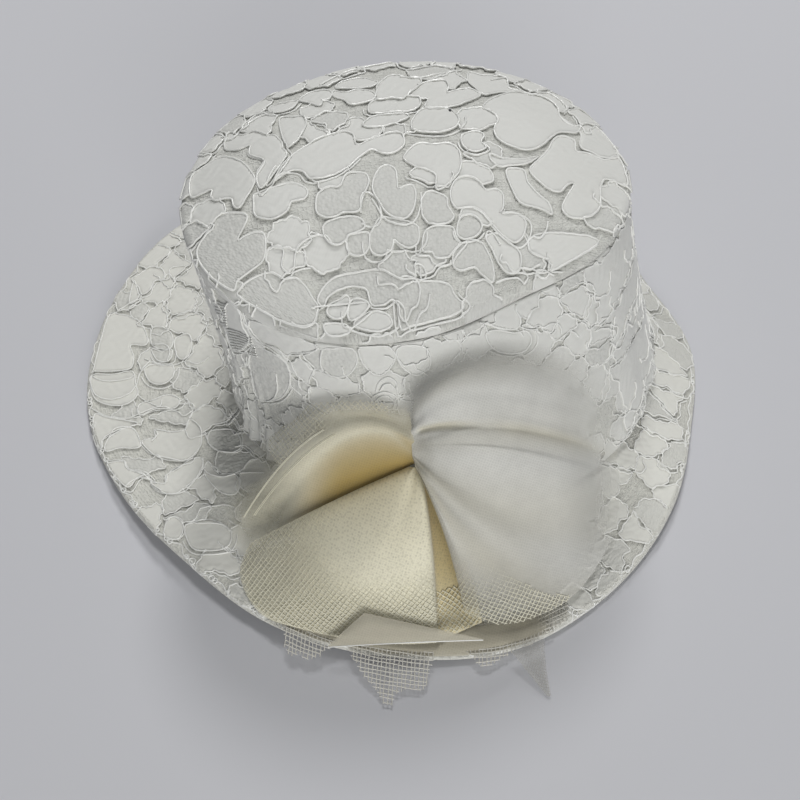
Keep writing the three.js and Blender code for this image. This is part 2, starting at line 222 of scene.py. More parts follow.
def seen_on(tree, places):
    """Where the lines of sight through flat pairs of view places meet a node, in mm."""
    found = []
    for across, down in zip(places[::2], places[1::2]):
        spot = tree.ray_cast(stand, sight_line(across, down))[0]
        if spot is not None:
            found.append(np.array(spot) * 1000 - STAND)
    return np.array(found).reshape(-1, 3)


def node_tree(node):
    mesh = nodes[node].data
    corners = [corner.co for corner in mesh.vertices]
    return BVHTree.FromPolygons(corners, [face.vertices for face in mesh.polygons])


def inside_depth(x, y, outline):
    """How far each point lies inside an outline; less than nothing outside it."""
    start = outline.T[:, None, :]
    span = np.roll(outline, -1, 0).T[:, None, :] - start
    from_x = x[:, None] - start[0]
    from_y = y[:, None] - start[1]
    length = span[0] ** 2 + span[1] ** 2 + 1e-12
    t = np.clip((from_x * span[0] + from_y * span[1]) / length, 0, 1)
    nearest = np.hypot(from_x - t * span[0], from_y - t * span[1]).min(1)
    spans = (from_y < 0) != (from_y < span[1])
    meets = from_y * span[0] / np.where(np.abs(span[1]) < 1e-12, 1e-12, span[1])
    crossings = (spans & (from_x < meets)).sum(1)
    return np.where(crossings % 2 == 1, nearest, -nearest)


def raised(x, y, petals):
    """Height of layered petals over the ground, and marks of petal, texture and painted shade.

    A petal lies over those after it in the list and rises towards its lower side; a narrow
    strip just under that side is marked for painted shade, which darkens the lace's colour.
    """
    height = np.zeros(x.shape)
    petal = np.zeros(x.shape)
    textured = np.zeros(x.shape)
    shaded = np.zeros(x.shape)
    for outline, texture in reversed(petals):
        low = outline.min(0)
        high = outline.max(0)
        near = (x > low[0] - 1) & (x < high[0] + 1) & (y > low[1] - 2) & (y < high[1] + 1)
        if not near.any():
            continue
        depth = inside_depth(x[near], y[near], outline)
        edge = np.clip(depth / PETAL_EDGE + 0.5, 0, 1)
        down = np.clip((high[1] - y[near]) / (high[1] - low[1]), 0, 1)
        # Painted shade: a strip just under the petal's lower side, darkened later in the lace's
        # colour.
        under = np.clip(1 + depth / 2, 0, 1) * np.clip(3.2 * down - 1.6, 0, 1)
        height[near] += (PETAL_RISE * (0.4 + 0.85 * down) - height[near]) * edge
        petal[near] += (1 - petal[near]) * edge
        textured[near] += (texture - textured[near]) * edge
        shaded[near] = np.maximum(shaded[near], under) * (1 - edge)
    height += 0.16 * np.sin(1.1 * x + 2 * np.sin(0.6 * y)) * np.sin(1.9 * y + 2 * np.sin(0.5 * x))
    return height, {"petal": petal, "textured": textured, "shaded": shaded}


def cells(rng, low, high, spacing, stretch, taken):
    """Cusps of petals that fill a region between those already taken."""
    size = np.array(high) - low
    count = np.maximum(np.ceil(size / spacing / np.array(stretch)), 1).astype(int)
    seeds = []
    for i in range(-1, count[0] + 1):
        for j in range(-1, count[1] + 1):
            shift = 0.5 * (j % 2)
            jitter = rng.uniform(-0.33, 0.33, 2)
            seeds.append((np.array((i + shift, j)) + 0.5 + jitter) * size / count + low)
    seeds = np.array(seeds)
    found = []
    for seed in seeds:
        outline = np.array(((-40, -40), (40, -40), (40, 40), (-40, 40)), float) + seed
        away = np.hypot(*((seeds - seed) / stretch).T)
        for other in seeds[np.argsort(away)[1:13]]:
            span = other - seed
            middle = seed + span * (0.5 - 0.45 / np.hypot(*span))
            outline = clipped(outline, middle, span)
        found.append(outline)
    return [cell for cell in found if len(cell) > 2 and free_of(cell.mean(0), taken)]


def clipped(outline, middle, span):
    kept = []
    sides = (outline - middle) @ span
    for k in range(len(outline)):
        after = (k + 1) % len(outline)
        if sides[k] <= 0:
            kept.append(outline[k])
        if (sides[k] <= 0) != (sides[after] <= 0):
            t = sides[k] / (sides[k] - sides[after])
            kept.append(outline[k] + t * (outline[after] - outline[k]))
    return np.array(kept).reshape(-1, 2)


def free_of(point, taken):
    x = np.array([point[0]])
    y = np.array([point[1]])
    near = [
        outline
        for outline, _ in taken
        if (outline.min(0) - 1 < point).all() and (outline.max(0) + 1 > point).all()
    ]
    return all(inside_depth(x, y, outline)[0] < -1 for outline in near)


def cusps_of(cell, rng):
    """Corners of a cell that are far enough apart, with more of them on its long sides."""
    cusps = []
    for corner, after in zip(cell, np.roll(cell, -1, 0)):
        if cusps and np.hypot(*(corner - cusps[-1])) < 3.5:
            continue
        cusps.append(corner)
        length = np.hypot(*(after - corner))
        parts = round(length / 7)
        for part in range(1, parts):
            pull = 0.1 * length / parts
            middle = corner + (after - corner) * part / parts
            cusps.append(middle + (cell.mean(0) - middle) * 0.12 + rng.uniform(-pull, pull, 2))
    return np.array(cusps)


def leaf(cusps, rng):
    centre = cusps.mean(0)
    pull = rng.uniform(0.8, 1.08, len(cusps))[:, None]
    return ringed(centre + (cusps - centre) * pull)


def wavy(outline, rng):
    """An outline with small waves along it, as lace has."""
    ahead = np.roll(outline, -1, 0) - np.roll(outline, 1, 0)
    out = np.stack((ahead[:, 1], -ahead[:, 0]), 1) / np.hypot(*ahead.T)[:, None]
    step = np.hypot(*(np.roll(outline, -1, 0) - outline).T)
    length = step.sum()
    turn = np.cumsum(step) / length * 2 * np.pi
    waves = max(3, round(length / rng.uniform(4.5, 8)))
    lift = np.sin(waves * turn + rng.uniform(0, 6)) + 0.6 * np.sin(2 * waves * turn + 1)
    return outline + out * (rng.uniform(0.2, 0.6) * lift)[:, None]


def grown_petals(rng, low, high, spacing, stretch, taken):
    petals = []
    for cell in cells(rng, low, high, spacing, stretch, taken):
        kind = rng.random()
        cusps = cusps_of(cell, rng)
        if kind < 0.08 or len(cusps) < 3:
            continue
        if kind < 0.5:
            outline = lobed(cusps, rng.uniform(0.06, 0.18))
        else:
            outline = leaf(cusps, rng)
        petals.append((wavy(outline, rng), rng.random() < 0.3))
    return petals


def echoes(petals, rng, share):
    """Second cords that follow the lower sides of some petals just outside them."""
    lines = []
    for outline, _ in petals:
        if rng.random() > share:
            continue
        centre = outline.mean(0)
        reach = np.hypot(*(outline - centre).T).mean()
        line = centre + (outline - centre) * (1 + rng.uniform(1.3, 2.2) / reach)
        below = line[:, 1] < centre[1] + rng.uniform(-0.3, 0.3) * reach
        if below.all() or not below.any():
            continue
        start = int(np.argmin(below))
        lines.append(np.roll(line, -start, 0)[np.roll(below, -start)])
    return lines


def tubes(name, runs, radius):
    """Round tubes as one mesh; a run is points in mm, if it is closed and its thickness."""
    line = bpy.data.curves.new(name, "CURVE")
    line.dimensions = "3D"
    line.bevel_depth = radius * MM
    line.bevel_resolution = 0
    line.use_fill_caps = True
    for points, closed, thick in runs:
        spline = line.splines.new("POLY")
        spline.points.add(len(points) - 1)
        placed = np.ones((len(points), 4))
        placed[:, :3] = (points + STAND) * MM
        spline.points.foreach_set("co", placed.ravel())
        spline.points.foreach_set("radius", thick.astype(np.float32))
        spline.use_cyclic_u = closed
    piece = bpy.data.objects.new(name, line)
    bpy.context.scene.collection.objects.link(piece)
    bpy.ops.object.select_all(action="DESELECT")
    bpy.context.view_layer.objects.active = piece
    piece.select_set(True)
    bpy.ops.object.convert(target="MESH")
    return bpy.context.object


def couched(name, runs, radius):
    """Satin cords from runs of points in mm, each with whether it is closed."""
    long_runs = [run for run in runs if len(run[0]) > 2]
    cords = tubes(name, [(points, closed, np.ones(len(points))) for points, closed in long_runs],
                  radius)
    bpy.ops.object.shade_smooth()
    return cords


def outside_others(outline, petals):
    """Parts of an outline that no petal above it covers, as runs of points."""
    hidden = np.zeros(len(outline), bool)
    for other, _ in petals:
        if other is outline:
            break
        low = other.min(0)
        high = other.max(0)
        near = ((outline > low) & (outline < high)).all(1)
        if near.any():
            depth = inside_depth(outline[near, 0], outline[near, 1], other)
            hidden[near] |= depth > PETAL_EDGE
    if not hidden.any():
        return [(outline, True)]
    start = int(np.argmax(hidden))
    turned_outline = np.roll(outline, -start, 0)
    turned_hidden = np.roll(hidden, -start)
    runs = []
    run = []
    for point, lost in zip(turned_outline, turned_hidden):
        if lost:
            if len(run) > 3:
                runs.append((np.array(run), False))
            run = []
        else:
            run.append(point)
    if len(run) > 3:
        runs.append((np.array(run), False))
    return runs


def in_plan(spots):
    return spots[:, :2]


def read_petals(tree, rows, find):
    """Petals from rows of kind and view places, where find(spots) lays spots flat."""
    return [(ringed(find(seen_on(tree, places))), kind == "textured") for kind, places in rows]


def read_cords(tree, rows, find, lay):
    """Loose cords from rows of view places; lay(line) puts a flat line on the cloth."""
    return [(lay(curved(find(seen_on(tree, places)))), False) for places in rows]


def petal_cords(outlines, petals, lay):
    """Cords round the outlines, where no other petal lies over them."""
    runs = []
    for outline in outlines:
        for line, closed in outside_others(outline, petals):
            placed = lay(line)
            runs.append((placed, closed and len(placed) == len(line)))
    return runs


def node_group(name, inputs, outputs):
    group = bpy.data.node_groups.new(name, "ShaderNodeTree")
    for label, kind in inputs:
        group.interface.new_socket(name=label, in_out="INPUT", socket_type=kind)
    for label, kind in outputs:
        group.interface.new_socket(name=label, in_out="OUTPUT", socket_type=kind)
    entry = group.nodes.new("NodeGroupInput")
    leave = group.nodes.new("NodeGroupOutput")
    return group, entry, leave


def put(tree, kind, settings, links):
    """A node with its settings, and its inputs given as values or as other sockets."""
    node = tree.nodes.new(kind)
    for name, value in settings.items():
        setattr(node, name, value)
    for name, value in links.items():
        if isinstance(value, bpy.types.NodeSocket):
            tree.links.new(value, node.inputs[name])
        else:
            node.inputs[name].default_value = value
    return node


def blend_colours(tree, share, first, second):
    mixer = put(tree, "ShaderNodeMix", {"data_type": "RGBA"}, {0: share, 6: first, 7: second})
    return mixer.outputs[2]


def sums(tree, operation, first, second):
    return put(tree, "ShaderNodeMath", {"operation": operation}, {0: first, 1: second}).outputs[0]


def ranged(tree, value, span, onto):
    """A value moved from one span of values onto another."""
    return put(tree, "ShaderNodeMapRange", {},
               {"Value": value, "From Min": span[0], "From Max": span[1], "To Min": onto[0],
                "To Max": onto[1]}).outputs[0]


def mark_of(tree, name):
    return put(tree, "ShaderNodeAttribute", {"attribute_name": name}, {}).outputs["Fac"]


lace_weave, entry, leave = node_group(
    "lace_weave",
    [("Cloth", "NodeSocketVector"), ("Petal", "NodeSocketFloat"), ("Texture", "NodeSocketFloat"),
     ("Shaded", "NodeSocketFloat"), ("Petal Colour", "NodeSocketColor"),
     ("Ground Colour", "NodeSocketColor")],
    [("Colour", "NodeSocketColor"), ("Height", "NodeSocketFloat"),
     ("Roughness", "NodeSocketFloat")],
)
cloth = entry.outputs["Cloth"]
strands = put(lace_weave, "ShaderNodeTexWave", {"wave_type": "BANDS", "bands_direction": "X"},
              {"Vector": cloth, "Scale": 620.0, "Distortion": 1.5, "Detail": 1.0})
ribs = put(lace_weave, "ShaderNodeTexWave", {"wave_type": "BANDS", "bands_direction": "Y"},
           {"Vector": cloth, "Scale": 260.0, "Distortion": 2.0, "Detail": 1.0,
            "Detail Scale": 0.4})
net = put(lace_weave, "ShaderNodeTexVoronoi", {"feature": "DISTANCE_TO_EDGE"},
          {"Vector": cloth, "Scale": 620.0, "Randomness": 0.55})
knots = put(lace_weave, "ShaderNodeTexVoronoi", {"feature": "F1"},
            {"Vector": cloth, "Scale": 760.0, "Randomness": 0.8})
shade = put(lace_weave, "ShaderNodeTexNoise", {},
            {"Vector": cloth, "Scale": 60.0, "Detail": 3.0, "Roughness": 0.6})
holes = ranged(lace_weave, net.outputs["Distance"], (0.02, 0.22), (1, 0))
ground = sums(lace_weave, "ADD", sums(lace_weave, "MULTIPLY", holes, 0.75),
              sums(lace_weave, "MULTIPLY", ribs.outputs["Fac"], 0.25))
knotted = sums(lace_weave, "SUBTRACT", 1.0, knots.outputs["Distance"])
satin = sums(lace_weave, "MULTIPLY", strands.outputs["Fac"], 0.06)
petal_height = put(lace_weave, "ShaderNodeMix", {"data_type": "FLOAT"},
                   {0: entry.outputs["Texture"], 2: satin, 3: knotted}).outputs[0]
height = put(lace_weave, "ShaderNodeMix", {"data_type": "FLOAT"},
             {0: entry.outputs["Petal"], 2: ground, 3: petal_height}).outputs[0]
# Painted shade: low places of the weave, the net's holes and the dips of textured petals, are
# painted darker, smooth petals only a little; with the marked strips under petal edges they blend
# the colour towards a dark grey.
painted_hollow_shade = ranged(lace_weave, height, (0, 0.8), (0.2, 0))
smooth_part = sums(lace_weave, "MULTIPLY", entry.outputs["Petal"],
                   sums(lace_weave, "SUBTRACT", 1.0, entry.outputs["Texture"]))
low = sums(lace_weave, "MULTIPLY", painted_hollow_shade,
           sums(lace_weave, "SUBTRACT", 1.0,
                sums(lace_weave, "MULTIPLY", smooth_part, 0.8)))
# Share of painted shade, from the hollows and from the marked strips under petal edges.
dark = put(lace_weave, "ShaderNodeClamp", {},
           {"Value": sums(lace_weave, "ADD", low,
                          sums(lace_weave, "MULTIPLY", entry.outputs["Shaded"], 0.55))})
plain = blend_colours(lace_weave, entry.outputs["Petal"], entry.outputs["Ground Colour"],
                      entry.outputs["Petal Colour"])
uneven = ranged(lace_weave, shade.outputs["Fac"], (0.3, 0.7), (0, 0.12))
worn = blend_colours(lace_weave, uneven, plain, (0.66, 0.65, 0.6, 1))
worn = blend_colours(lace_weave, sums(lace_weave, "MULTIPLY", entry.outputs["Texture"], 0.4),
                     worn, (0.6, 0.6, 0.57, 1))
lace_weave.links.new(blend_colours(lace_weave, dark.outputs[0], worn, (0.4, 0.4, 0.37, 1)),
                     leave.inputs["Colour"])
lace_weave.links.new(height, leave.inputs["Height"])
lace_weave.links.new(ranged(lace_weave, entry.outputs["Petal"], (0, 1), (0.85, 0.62)),
                     leave.inputs["Roughness"])


def lace_cloth(name, petal_colour, ground_colour):
    material, tree, shader = painted(name)
    cut = put(tree, "ShaderNodeUVMap", {}, {})
    weave = put(tree, "ShaderNodeGroup", {"node_tree": lace_weave},
                {"Cloth": cut.outputs[0], "Petal": mark_of(tree, "petal"),
                 "Texture": mark_of(tree, "textured"), "Shaded": mark_of(tree, "shaded"),
                 "Petal Colour": petal_colour, "Ground Colour": ground_colour})
    relief = put(tree, "ShaderNodeBump", {},
                 {"Height": weave.outputs["Height"], "Strength": 0.75, "Distance": 0.0004})
    tree.links.new(weave.outputs["Colour"], shader.inputs["Base Color"])
    tree.links.new(weave.outputs["Roughness"], shader.inputs["Roughness"])
    tree.links.new(relief.outputs[0], shader.inputs["Normal"])
    shader.inputs["Sheen Weight"].default_value = 0.15
    shader.inputs["Sheen Roughness"].default_value = 0.5
    shader.inputs["Specular IOR Level"].default_value = 0.35
    return material


def satin_cord(name, colour):
    material, tree, shader = painted(name)
    place = put(tree, "ShaderNodeTexCoord", {}, {})
    fibres = put(tree, "ShaderNodeTexNoise", {},
                 {"Vector": place.outputs["Object"], "Scale": 1500.0, "Detail": 2.0})
    tint = blend_colours(tree, fibres.outputs["Fac"], colour,
                         tuple(0.9 * part for part in colour[:3]) + (1,))
    relief = put(tree, "ShaderNodeBump", {},
                 {"Height": fibres.outputs["Fac"], "Strength": 0.3, "Distance": 0.0001})
    tree.links.new(tint, shader.inputs["Base Color"])
    tree.links.new(relief.outputs[0], shader.inputs["Normal"])
    shader.inputs["Roughness"].default_value = 0.3
    shader.inputs["Specular IOR Level"].default_value = 0.7
    return material


def tip_surface(x, y):
    """Height of the tip's cloth over a place in plan, and how far out the place is."""
    degrees = np.degrees(np.arctan2((y - TOP["y"]) / TOP["half_width"],
                                    (x - TOP["x"]) / TOP["half_length"]))
    drawn = around(CROWN_DRAWN, degrees)
    angle = np.radians(degrees)
    share = np.zeros(x.shape)
    for _ in range(4):
        past = 1 - drawn * share
        reach = np.hypot((TOP["half_length"] + past) * np.cos(angle),
                         (TOP["half_width"] + past) * np.sin(angle))
        share = np.hypot(x - TOP["x"], y - TOP["y"]) / reach
    inner = np.minimum(share, 1)
    rise = 9 * (1 - inner**2.6)
    for dent_x, dent_y, radius, lift in TIP_DENTS:
        away = np.hypot(x - dent_x, y - dent_y) / radius
        rise = rise + (1 - inner**6) * lift * np.exp(-(away**2))
    level = CROWN_TOP[3] + (around(CROWN_TOP, degrees) - CROWN_TOP[3]) * inner**2
    return level + SEAM_GAP + TIP_ROLL + rise, share


# Petals and loose cords that show plainly, by places across and down the 800 by 800 photo.
# They were read by eye in enlarged crops, and a scratch script printed most rows in whole pixels.
TIP_PETALS = (
    ("smooth", (192, 180, 204, 168, 221, 158, 240, 162, 252, 174, 255, 184, 246, 200, 240, 209,
     234, 208, 231, 200, 216, 202, 211, 198, 212, 191, 200, 196, 191, 198)),
    ("smooth", (225, 148, 225, 142, 230, 134, 242, 136, 254, 133, 266, 136, 274, 136, 282, 144,
     283, 150, 287, 156, 280, 168, 268, 184, 260, 190, 257, 176, 264, 162, 250, 156, 250, 147,
     238, 151, 227, 151)),
    ("smooth", (287, 148, 282, 136, 280, 120, 292, 118, 304, 118, 306, 128, 298, 142, 289, 149)),
    ("smooth", (274, 183, 288, 161, 318, 141, 340, 133, 353, 136, 357, 146, 372, 140, 390, 134,
     402, 135, 404, 146, 396, 153, 384, 155, 372, 151, 360, 158, 344, 172, 326, 180, 310, 180,
     303, 173, 292, 172, 282, 178)),
    ("smooth", (300, 100, 312, 93, 326, 91, 332, 94, 329, 101, 323, 102, 320, 108, 308, 104, 301,
     103)),
    ("smooth", (334, 92, 346, 94, 356, 91, 370, 92, 376, 97, 372, 102, 360, 105, 350, 106, 344,
     101, 334, 98)),
    ("smooth", (270, 108, 288, 103, 298, 102, 292, 110, 280, 114, 271, 114)),
    ("smooth", (340, 84, 360, 79, 374, 82, 378, 84, 372, 88, 356, 90, 344, 90, 336, 90)),
    ("smooth", (378, 86, 392, 76, 410, 79, 420, 80, 420, 86, 406, 98, 402, 101, 392, 100, 376, 101,
     377, 92)),
    ("smooth", (370, 114, 372, 103, 396, 98, 416, 98, 420, 100, 420, 106, 412, 112, 390, 114)),
    ("smooth", (363, 126, 372, 118, 392, 114, 402, 114, 409, 118, 392, 126, 378, 129, 366, 129)),
    ("textured", (316, 208, 318, 196, 328, 189, 340, 188, 346, 176, 356, 173, 366, 175, 369, 184,
     363, 198, 359, 213, 344, 214, 336, 218, 326, 219, 318, 215)),
    ("textured", (373, 192, 374, 180, 380, 169, 388, 166, 396, 172, 398, 190, 404, 188, 412, 187,
     416, 196, 413, 212, 404, 220, 388, 216, 380, 204)),
    ("textured", (324, 236, 324, 226, 338, 219, 358, 219, 365, 229, 350, 236, 347, 240, 340, 246,
     332, 246, 326, 240)),
    ("textured", (347, 241, 350, 236, 368, 234, 369, 248, 363, 256, 352, 256, 347, 250)),
    ("textured", (370, 237, 372, 233, 380, 220, 396, 220, 416, 226, 419, 234, 418, 244, 410, 249,
     400, 246, 394, 241, 392, 250, 384, 256, 374, 255, 370, 248)),
    ("smooth", (254, 196, 260, 194, 270, 190, 290, 184, 304, 188, 308, 194, 304, 200, 292, 203,
     288, 212, 276, 220, 264, 220, 255, 216, 254, 206)),
    ("textured", (210, 230, 218, 218, 228, 214, 245, 215, 247, 222, 238, 241, 250, 235, 263, 234,
     266, 246, 263, 262, 250, 273, 238, 283, 234, 294, 216, 284, 202, 268, 198, 252)),
    ("textured", (240, 292, 246, 284, 260, 276, 272, 274, 284, 280, 296, 279, 306, 288, 312, 298,
     318, 308, 316, 320, 310, 328, 292, 328, 270, 318, 250, 306, 238, 298)),
    ("textured", (318, 303, 320, 294, 328, 283, 340, 276, 356, 273, 378, 270, 392, 276, 402, 281,
     414, 280, 420, 290, 418, 306, 412, 312, 406, 324, 400, 318, 399, 308, 392, 301, 384, 306,
     372, 306, 369, 298, 366, 290, 352, 287, 338, 291, 328, 298, 324, 308)),
    ("smooth", (330, 306, 340, 300, 346, 296, 350, 302, 344, 318, 334, 320, 327, 314)),
    ("smooth", (348, 318, 350, 304, 356, 299, 366, 302, 369, 308, 360, 318, 352, 322)),
    ("smooth", (354, 326, 364, 316, 376, 312, 388, 316, 392, 326, 380, 334, 366, 332)),
    ("smooth", (324, 326, 334, 324, 346, 326, 350, 334, 340, 340, 328, 338)),
    ("smooth", (485, 105, 498, 97, 514, 93, 530, 95, 546, 100, 557, 109, 560, 118, 570, 127, 580,
     129, 576, 134, 560, 134, 552, 138, 542, 147, 528, 152, 512, 148, 499, 141, 494, 131,
     498, 120, 485, 110)),
    ("smooth", (532, 176, 530, 170, 540, 160, 548, 151, 554, 140, 562, 137, 574, 142, 576, 152,
     588, 154, 604, 161, 618, 160, 624, 166, 626, 180, 626, 189, 612, 182, 604, 181, 600, 192,
     600, 208, 592, 218, 580, 220, 568, 218, 562, 210, 566, 200, 574, 186, 568, 186, 560,
     193, 550, 191, 540, 184)),
    ("smooth", (404, 158, 412, 148, 422, 144, 434, 145, 448, 144, 458, 150, 461, 160, 460, 172,
     454, 180, 442, 190, 436, 190, 436, 178, 428, 172, 416, 168, 406, 162)),
    ("smooth", (451, 200, 451, 190, 457, 180, 470, 178, 480, 184, 486, 191, 496, 190, 503, 196,
     503, 210, 500, 214, 512, 214, 522, 218, 526, 226, 522, 240, 514, 244, 504, 238, 496, 230,
     488, 220, 480, 212, 470, 209, 456, 209)),
    ("smooth", (486, 238, 496, 234, 508, 242, 518, 252, 521, 260, 520, 270, 514, 275, 504, 272,
     496, 260, 492, 250, 488, 244)),
    ("textured", (422, 212, 422, 200, 430, 192, 446, 198, 448, 208, 454, 218, 446, 225, 430, 225,
     423, 218)),
    ("textured", (423, 240, 426, 232, 434, 227, 452, 228, 456, 238, 460, 244, 454, 252, 448, 259,
     436, 260, 432, 254, 423, 253)),
    ("textured", (457, 234, 460, 220, 470, 216, 478, 220, 482, 228, 478, 236, 470, 240, 462, 240)),
    ("textured", (453, 264, 454, 254, 462, 245, 472, 241, 482, 244, 488, 254, 492, 264, 494, 276,
     492, 284, 482, 276, 474, 269, 462, 272, 455, 269)),
    ("smooth", (461, 140, 464, 135, 474, 132, 482, 134, 484, 138, 481, 143, 486, 150, 474, 154,
     464, 148)),
    ("smooth", (412, 130, 412, 122, 422, 110, 436, 109, 450, 110, 458, 118, 458, 126, 448, 132,
     434, 134, 414, 132)),
    ("smooth", (408, 98, 416, 88, 428, 83, 444, 82, 449, 88, 447, 94, 458, 91, 470, 90, 478, 94,
     480, 97, 468, 103, 452, 108, 426, 109, 428, 101, 420, 100)),
    ("smooth", (530, 240, 550, 234, 580, 236, 592, 238, 596, 248, 592, 262, 580, 272, 572, 276,
     552, 273, 548, 262, 531, 254)),
    ("smooth", (506, 172, 514, 169, 524, 172, 528, 184, 538, 196, 548, 204, 552, 216, 544, 212,
     532, 208, 520, 204, 512, 190)),
    ("smooth", (490, 156, 500, 159, 512, 160, 528, 160, 538, 158, 528, 165, 512, 167, 500, 168,
     492, 164)),
    ("smooth", (469, 73, 480, 76, 491, 77, 506, 80, 509, 90, 520, 93, 500, 94, 484, 96, 476, 90,
     468, 82)),
    ("smooth", (562, 120, 576, 127, 588, 125, 600, 133, 612, 144, 618, 158, 602, 159, 590, 153,
     580, 148, 580, 134)),
    ("textured", (400, 281, 422, 282, 440, 283, 450, 287, 455, 297, 464, 307, 456, 316, 436, 322,
     412, 328, 400, 328)),
)
TIP_CORDS = (
    (266, 252, 278, 248, 284, 253, 282, 268, 288, 274, 294, 270, 296, 254, 304, 244, 318,
     236, 327, 238, 332, 246),
    (361, 214, 361, 200, 367, 193, 377, 200, 381, 212, 380, 224, 372, 229, 362, 226),
    (292, 326, 300, 330, 310, 329, 316, 322, 318, 312, 326, 306),
    (320, 88, 340, 77, 360, 71, 392, 66, 420, 62),
    (248, 126, 260, 118, 274, 114),
    (400, 78, 420, 80, 440, 76, 462, 71),
    (491, 82, 506, 80, 509, 88, 520, 93, 548, 95, 560, 98, 566, 109, 564, 115),
    (524, 234, 528, 238, 529, 252, 540, 258, 549, 262),
    (548, 222, 546, 232, 540, 240, 532, 238),
    (536, 276, 550, 274, 562, 276, 572, 278, 582, 272, 592, 264, 600, 260),
    (540, 279, 552, 283, 560, 286, 572, 284, 580, 284, 590, 278, 600, 272),
    (528, 286, 540, 292, 552, 297, 566, 298, 580, 294, 594, 288),
    (416, 266, 422, 268, 426, 275, 422, 281, 400, 280),
    (485, 240, 488, 232, 494, 236, 500, 246),
    (524, 286, 528, 278, 522, 270, 530, 271, 540, 268),
    (496, 284, 506, 280, 518, 279, 524, 286),
)

crown_rng = np.random.default_rng(11)
tip_tree = node_tree("crown_tip")
tip_petals = read_petals(tip_tree, TIP_PETALS, in_plan)
tip_petals += grown_petals(crown_rng, (-70, -48), (86, 86), 11.5, (1.3, 0.76), tip_petals)


def tip_place(u, v):
    """The tip's grid: a square drawn into an oval, with its rim rolled down."""
    a = 2 * u - 1
    b = 2 * v - 1
    disc_x = a * np.sqrt(1 - b * b / 2)
    disc_y = b * np.sqrt(1 - a * a / 2)
    way = np.hypot(disc_x, disc_y)
    angle = np.arctan2(disc_y, disc_x)
    degrees = np.degrees(angle)
    share = np.minimum(way / TIP_RIM, 1)
    roll_turn = np.clip((way - TIP_RIM) / TIP_TURN, 0, 1) * math.radians(150)
    past = 1 - around(CROWN_DRAWN, degrees) * share
    fold = 1.9 * np.sin(roll_turn) - 1.5
    x = TOP["x"] + ((TOP["half_length"] + past) * share + fold * share**8) * np.cos(angle)
    y = TOP["y"] + ((TOP["half_width"] + past) * share + fold * share**8) * np.sin(angle)
    level, _ = tip_surface(x, y)
    drop = 1.9 * (1 - np.cos(roll_turn))
    height, marks = raised(x, y, tip_petals)
    upright = np.clip(np.cos(roll_turn), 0, 1)
    return np.stack((x, y, level - drop + height * upright), 1), marks


crown_tip = shaped_cloth("crown_tip_lace", 214, 184, tip_place, (0.16, 0.136))
bpy.ops.object.modifier_add(type="SOLIDIFY")
crown_tip.modifiers[-1].thickness = 0.0012
crown_tip.modifiers[-1].offset = -1
bpy.ops.object.modifier_apply(modifier=crown_tip.modifiers[-1].name)


def tip_cord(line):
    level, share = tip_surface(line[:, 0], line[:, 1])
    height, _ = raised(line[:, 0], line[:, 1], tip_petals)
    drop = 1.5 * np.clip((share - 0.98) / 0.03, 0, 1) ** 2
    return np.stack((line[:, 0], line[:, 1], level + height + CORD_LIFT - drop), 1)[share < 1.012]


tip_runs = petal_cords([outline for outline, _ in tip_petals], tip_petals, tip_cord)
tip_runs += [(tip_cord(line), False) for line in echoes(tip_petals, crown_rng, 0.3)]
tip_runs += read_cords(tip_tree, TIP_CORDS, in_plan, tip_cord)
crown_tip_cords = couched("crown_tip_cords", tip_runs, 0.4)
white_lace = lace_cloth("white_corded_lace", (0.78, 0.78, 0.75, 1), (0.74, 0.74, 0.7, 1))
white_cord = satin_cord("white_satin_cord", (0.93, 0.93, 0.9, 1))
crown_tip.data.materials.append(white_lace)
crown_tip_cords.data.materials.append(white_cord)
for piece in (crown_tip, crown_tip_cords):
    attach(piece, "root")
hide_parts("crown_tip")

# Crown side: a band of the same lace over stiff cloth, sewn into a leaning oval wall. It is
# a little hollow, and pulled into upright creases on both sides of the bow.
FOOT = {"x": 18, "y": 8, "half_length": 79, "half_width": 68}
CROWN_FOOT = (15, 15, 14, 14, 14, 13, 12, 12, 13, 14, 14, 15)
CROWN_BULGE = (1, 0, 1, 0, 1, 0, 2, -1, 0, 0, 1, 1)
BAND_ROUND = 450
BAND_TALL = 80
BAND_OUTSIDE = 0.86
BAND_INSIDE = 0.14
WALL = 2
CREASES = (
    # direction, width in degrees, depth, reach up the wall
    (196, 5, 1.6, 0.9),
    (208, 4, 2.2, 0.7),
    (219, 4, 1.8, 0.6),
    (338, 5, 1.5, 0.8),
    (352, 4, 1.2, 0.9),
    (201, 1.3, -1.5, 0.6),
    (205, 1.1, -1.8, 0.7),
    (209.5, 1.2, -1.7, 0.75),
    (214, 1.1, -1.5, 0.7),
    (218, 1.2, -1.4, 0.6),
)


def wall_oval(height):
    """Middle and half axes of the wall's oval at a height."""
    return [FOOT[key] + (TOP[key] - FOOT[key]) * height
            for key in ("x", "y", "half_length", "half_width")]


def band_point(degrees, height, out):
    angle = np.radians(degrees)
    belly = np.sin(np.pi * height)
    crease = np.zeros(degrees.shape)
    for direction, width, depth, reach in CREASES:
        off = np.mod(degrees - direction + 180, 360) - 180
        fade = np.maximum(0, 1 - height / reach)
        crease = crease + depth * fade * np.exp(-((off / width) ** 2))
    flare = 2.5 * np.maximum(1 - height, 0) ** 8
    drawn = around(CROWN_DRAWN, degrees) * height**2
    push = flare + around(CROWN_BULGE, degrees) * belly - 1.5 * belly - drawn - crease + out
    middle_x, middle_y, half_length, half_width = wall_oval(height)
    x = middle_x + (half_length + push) * np.cos(angle)
    y = middle_y + (half_width + push) * np.sin(angle)
    foot = around(CROWN_FOOT, degrees) + SEAM_GAP
    top = around(CROWN_TOP, degrees)
    return np.stack((x, y, foot + (top - foot) * height), 1)


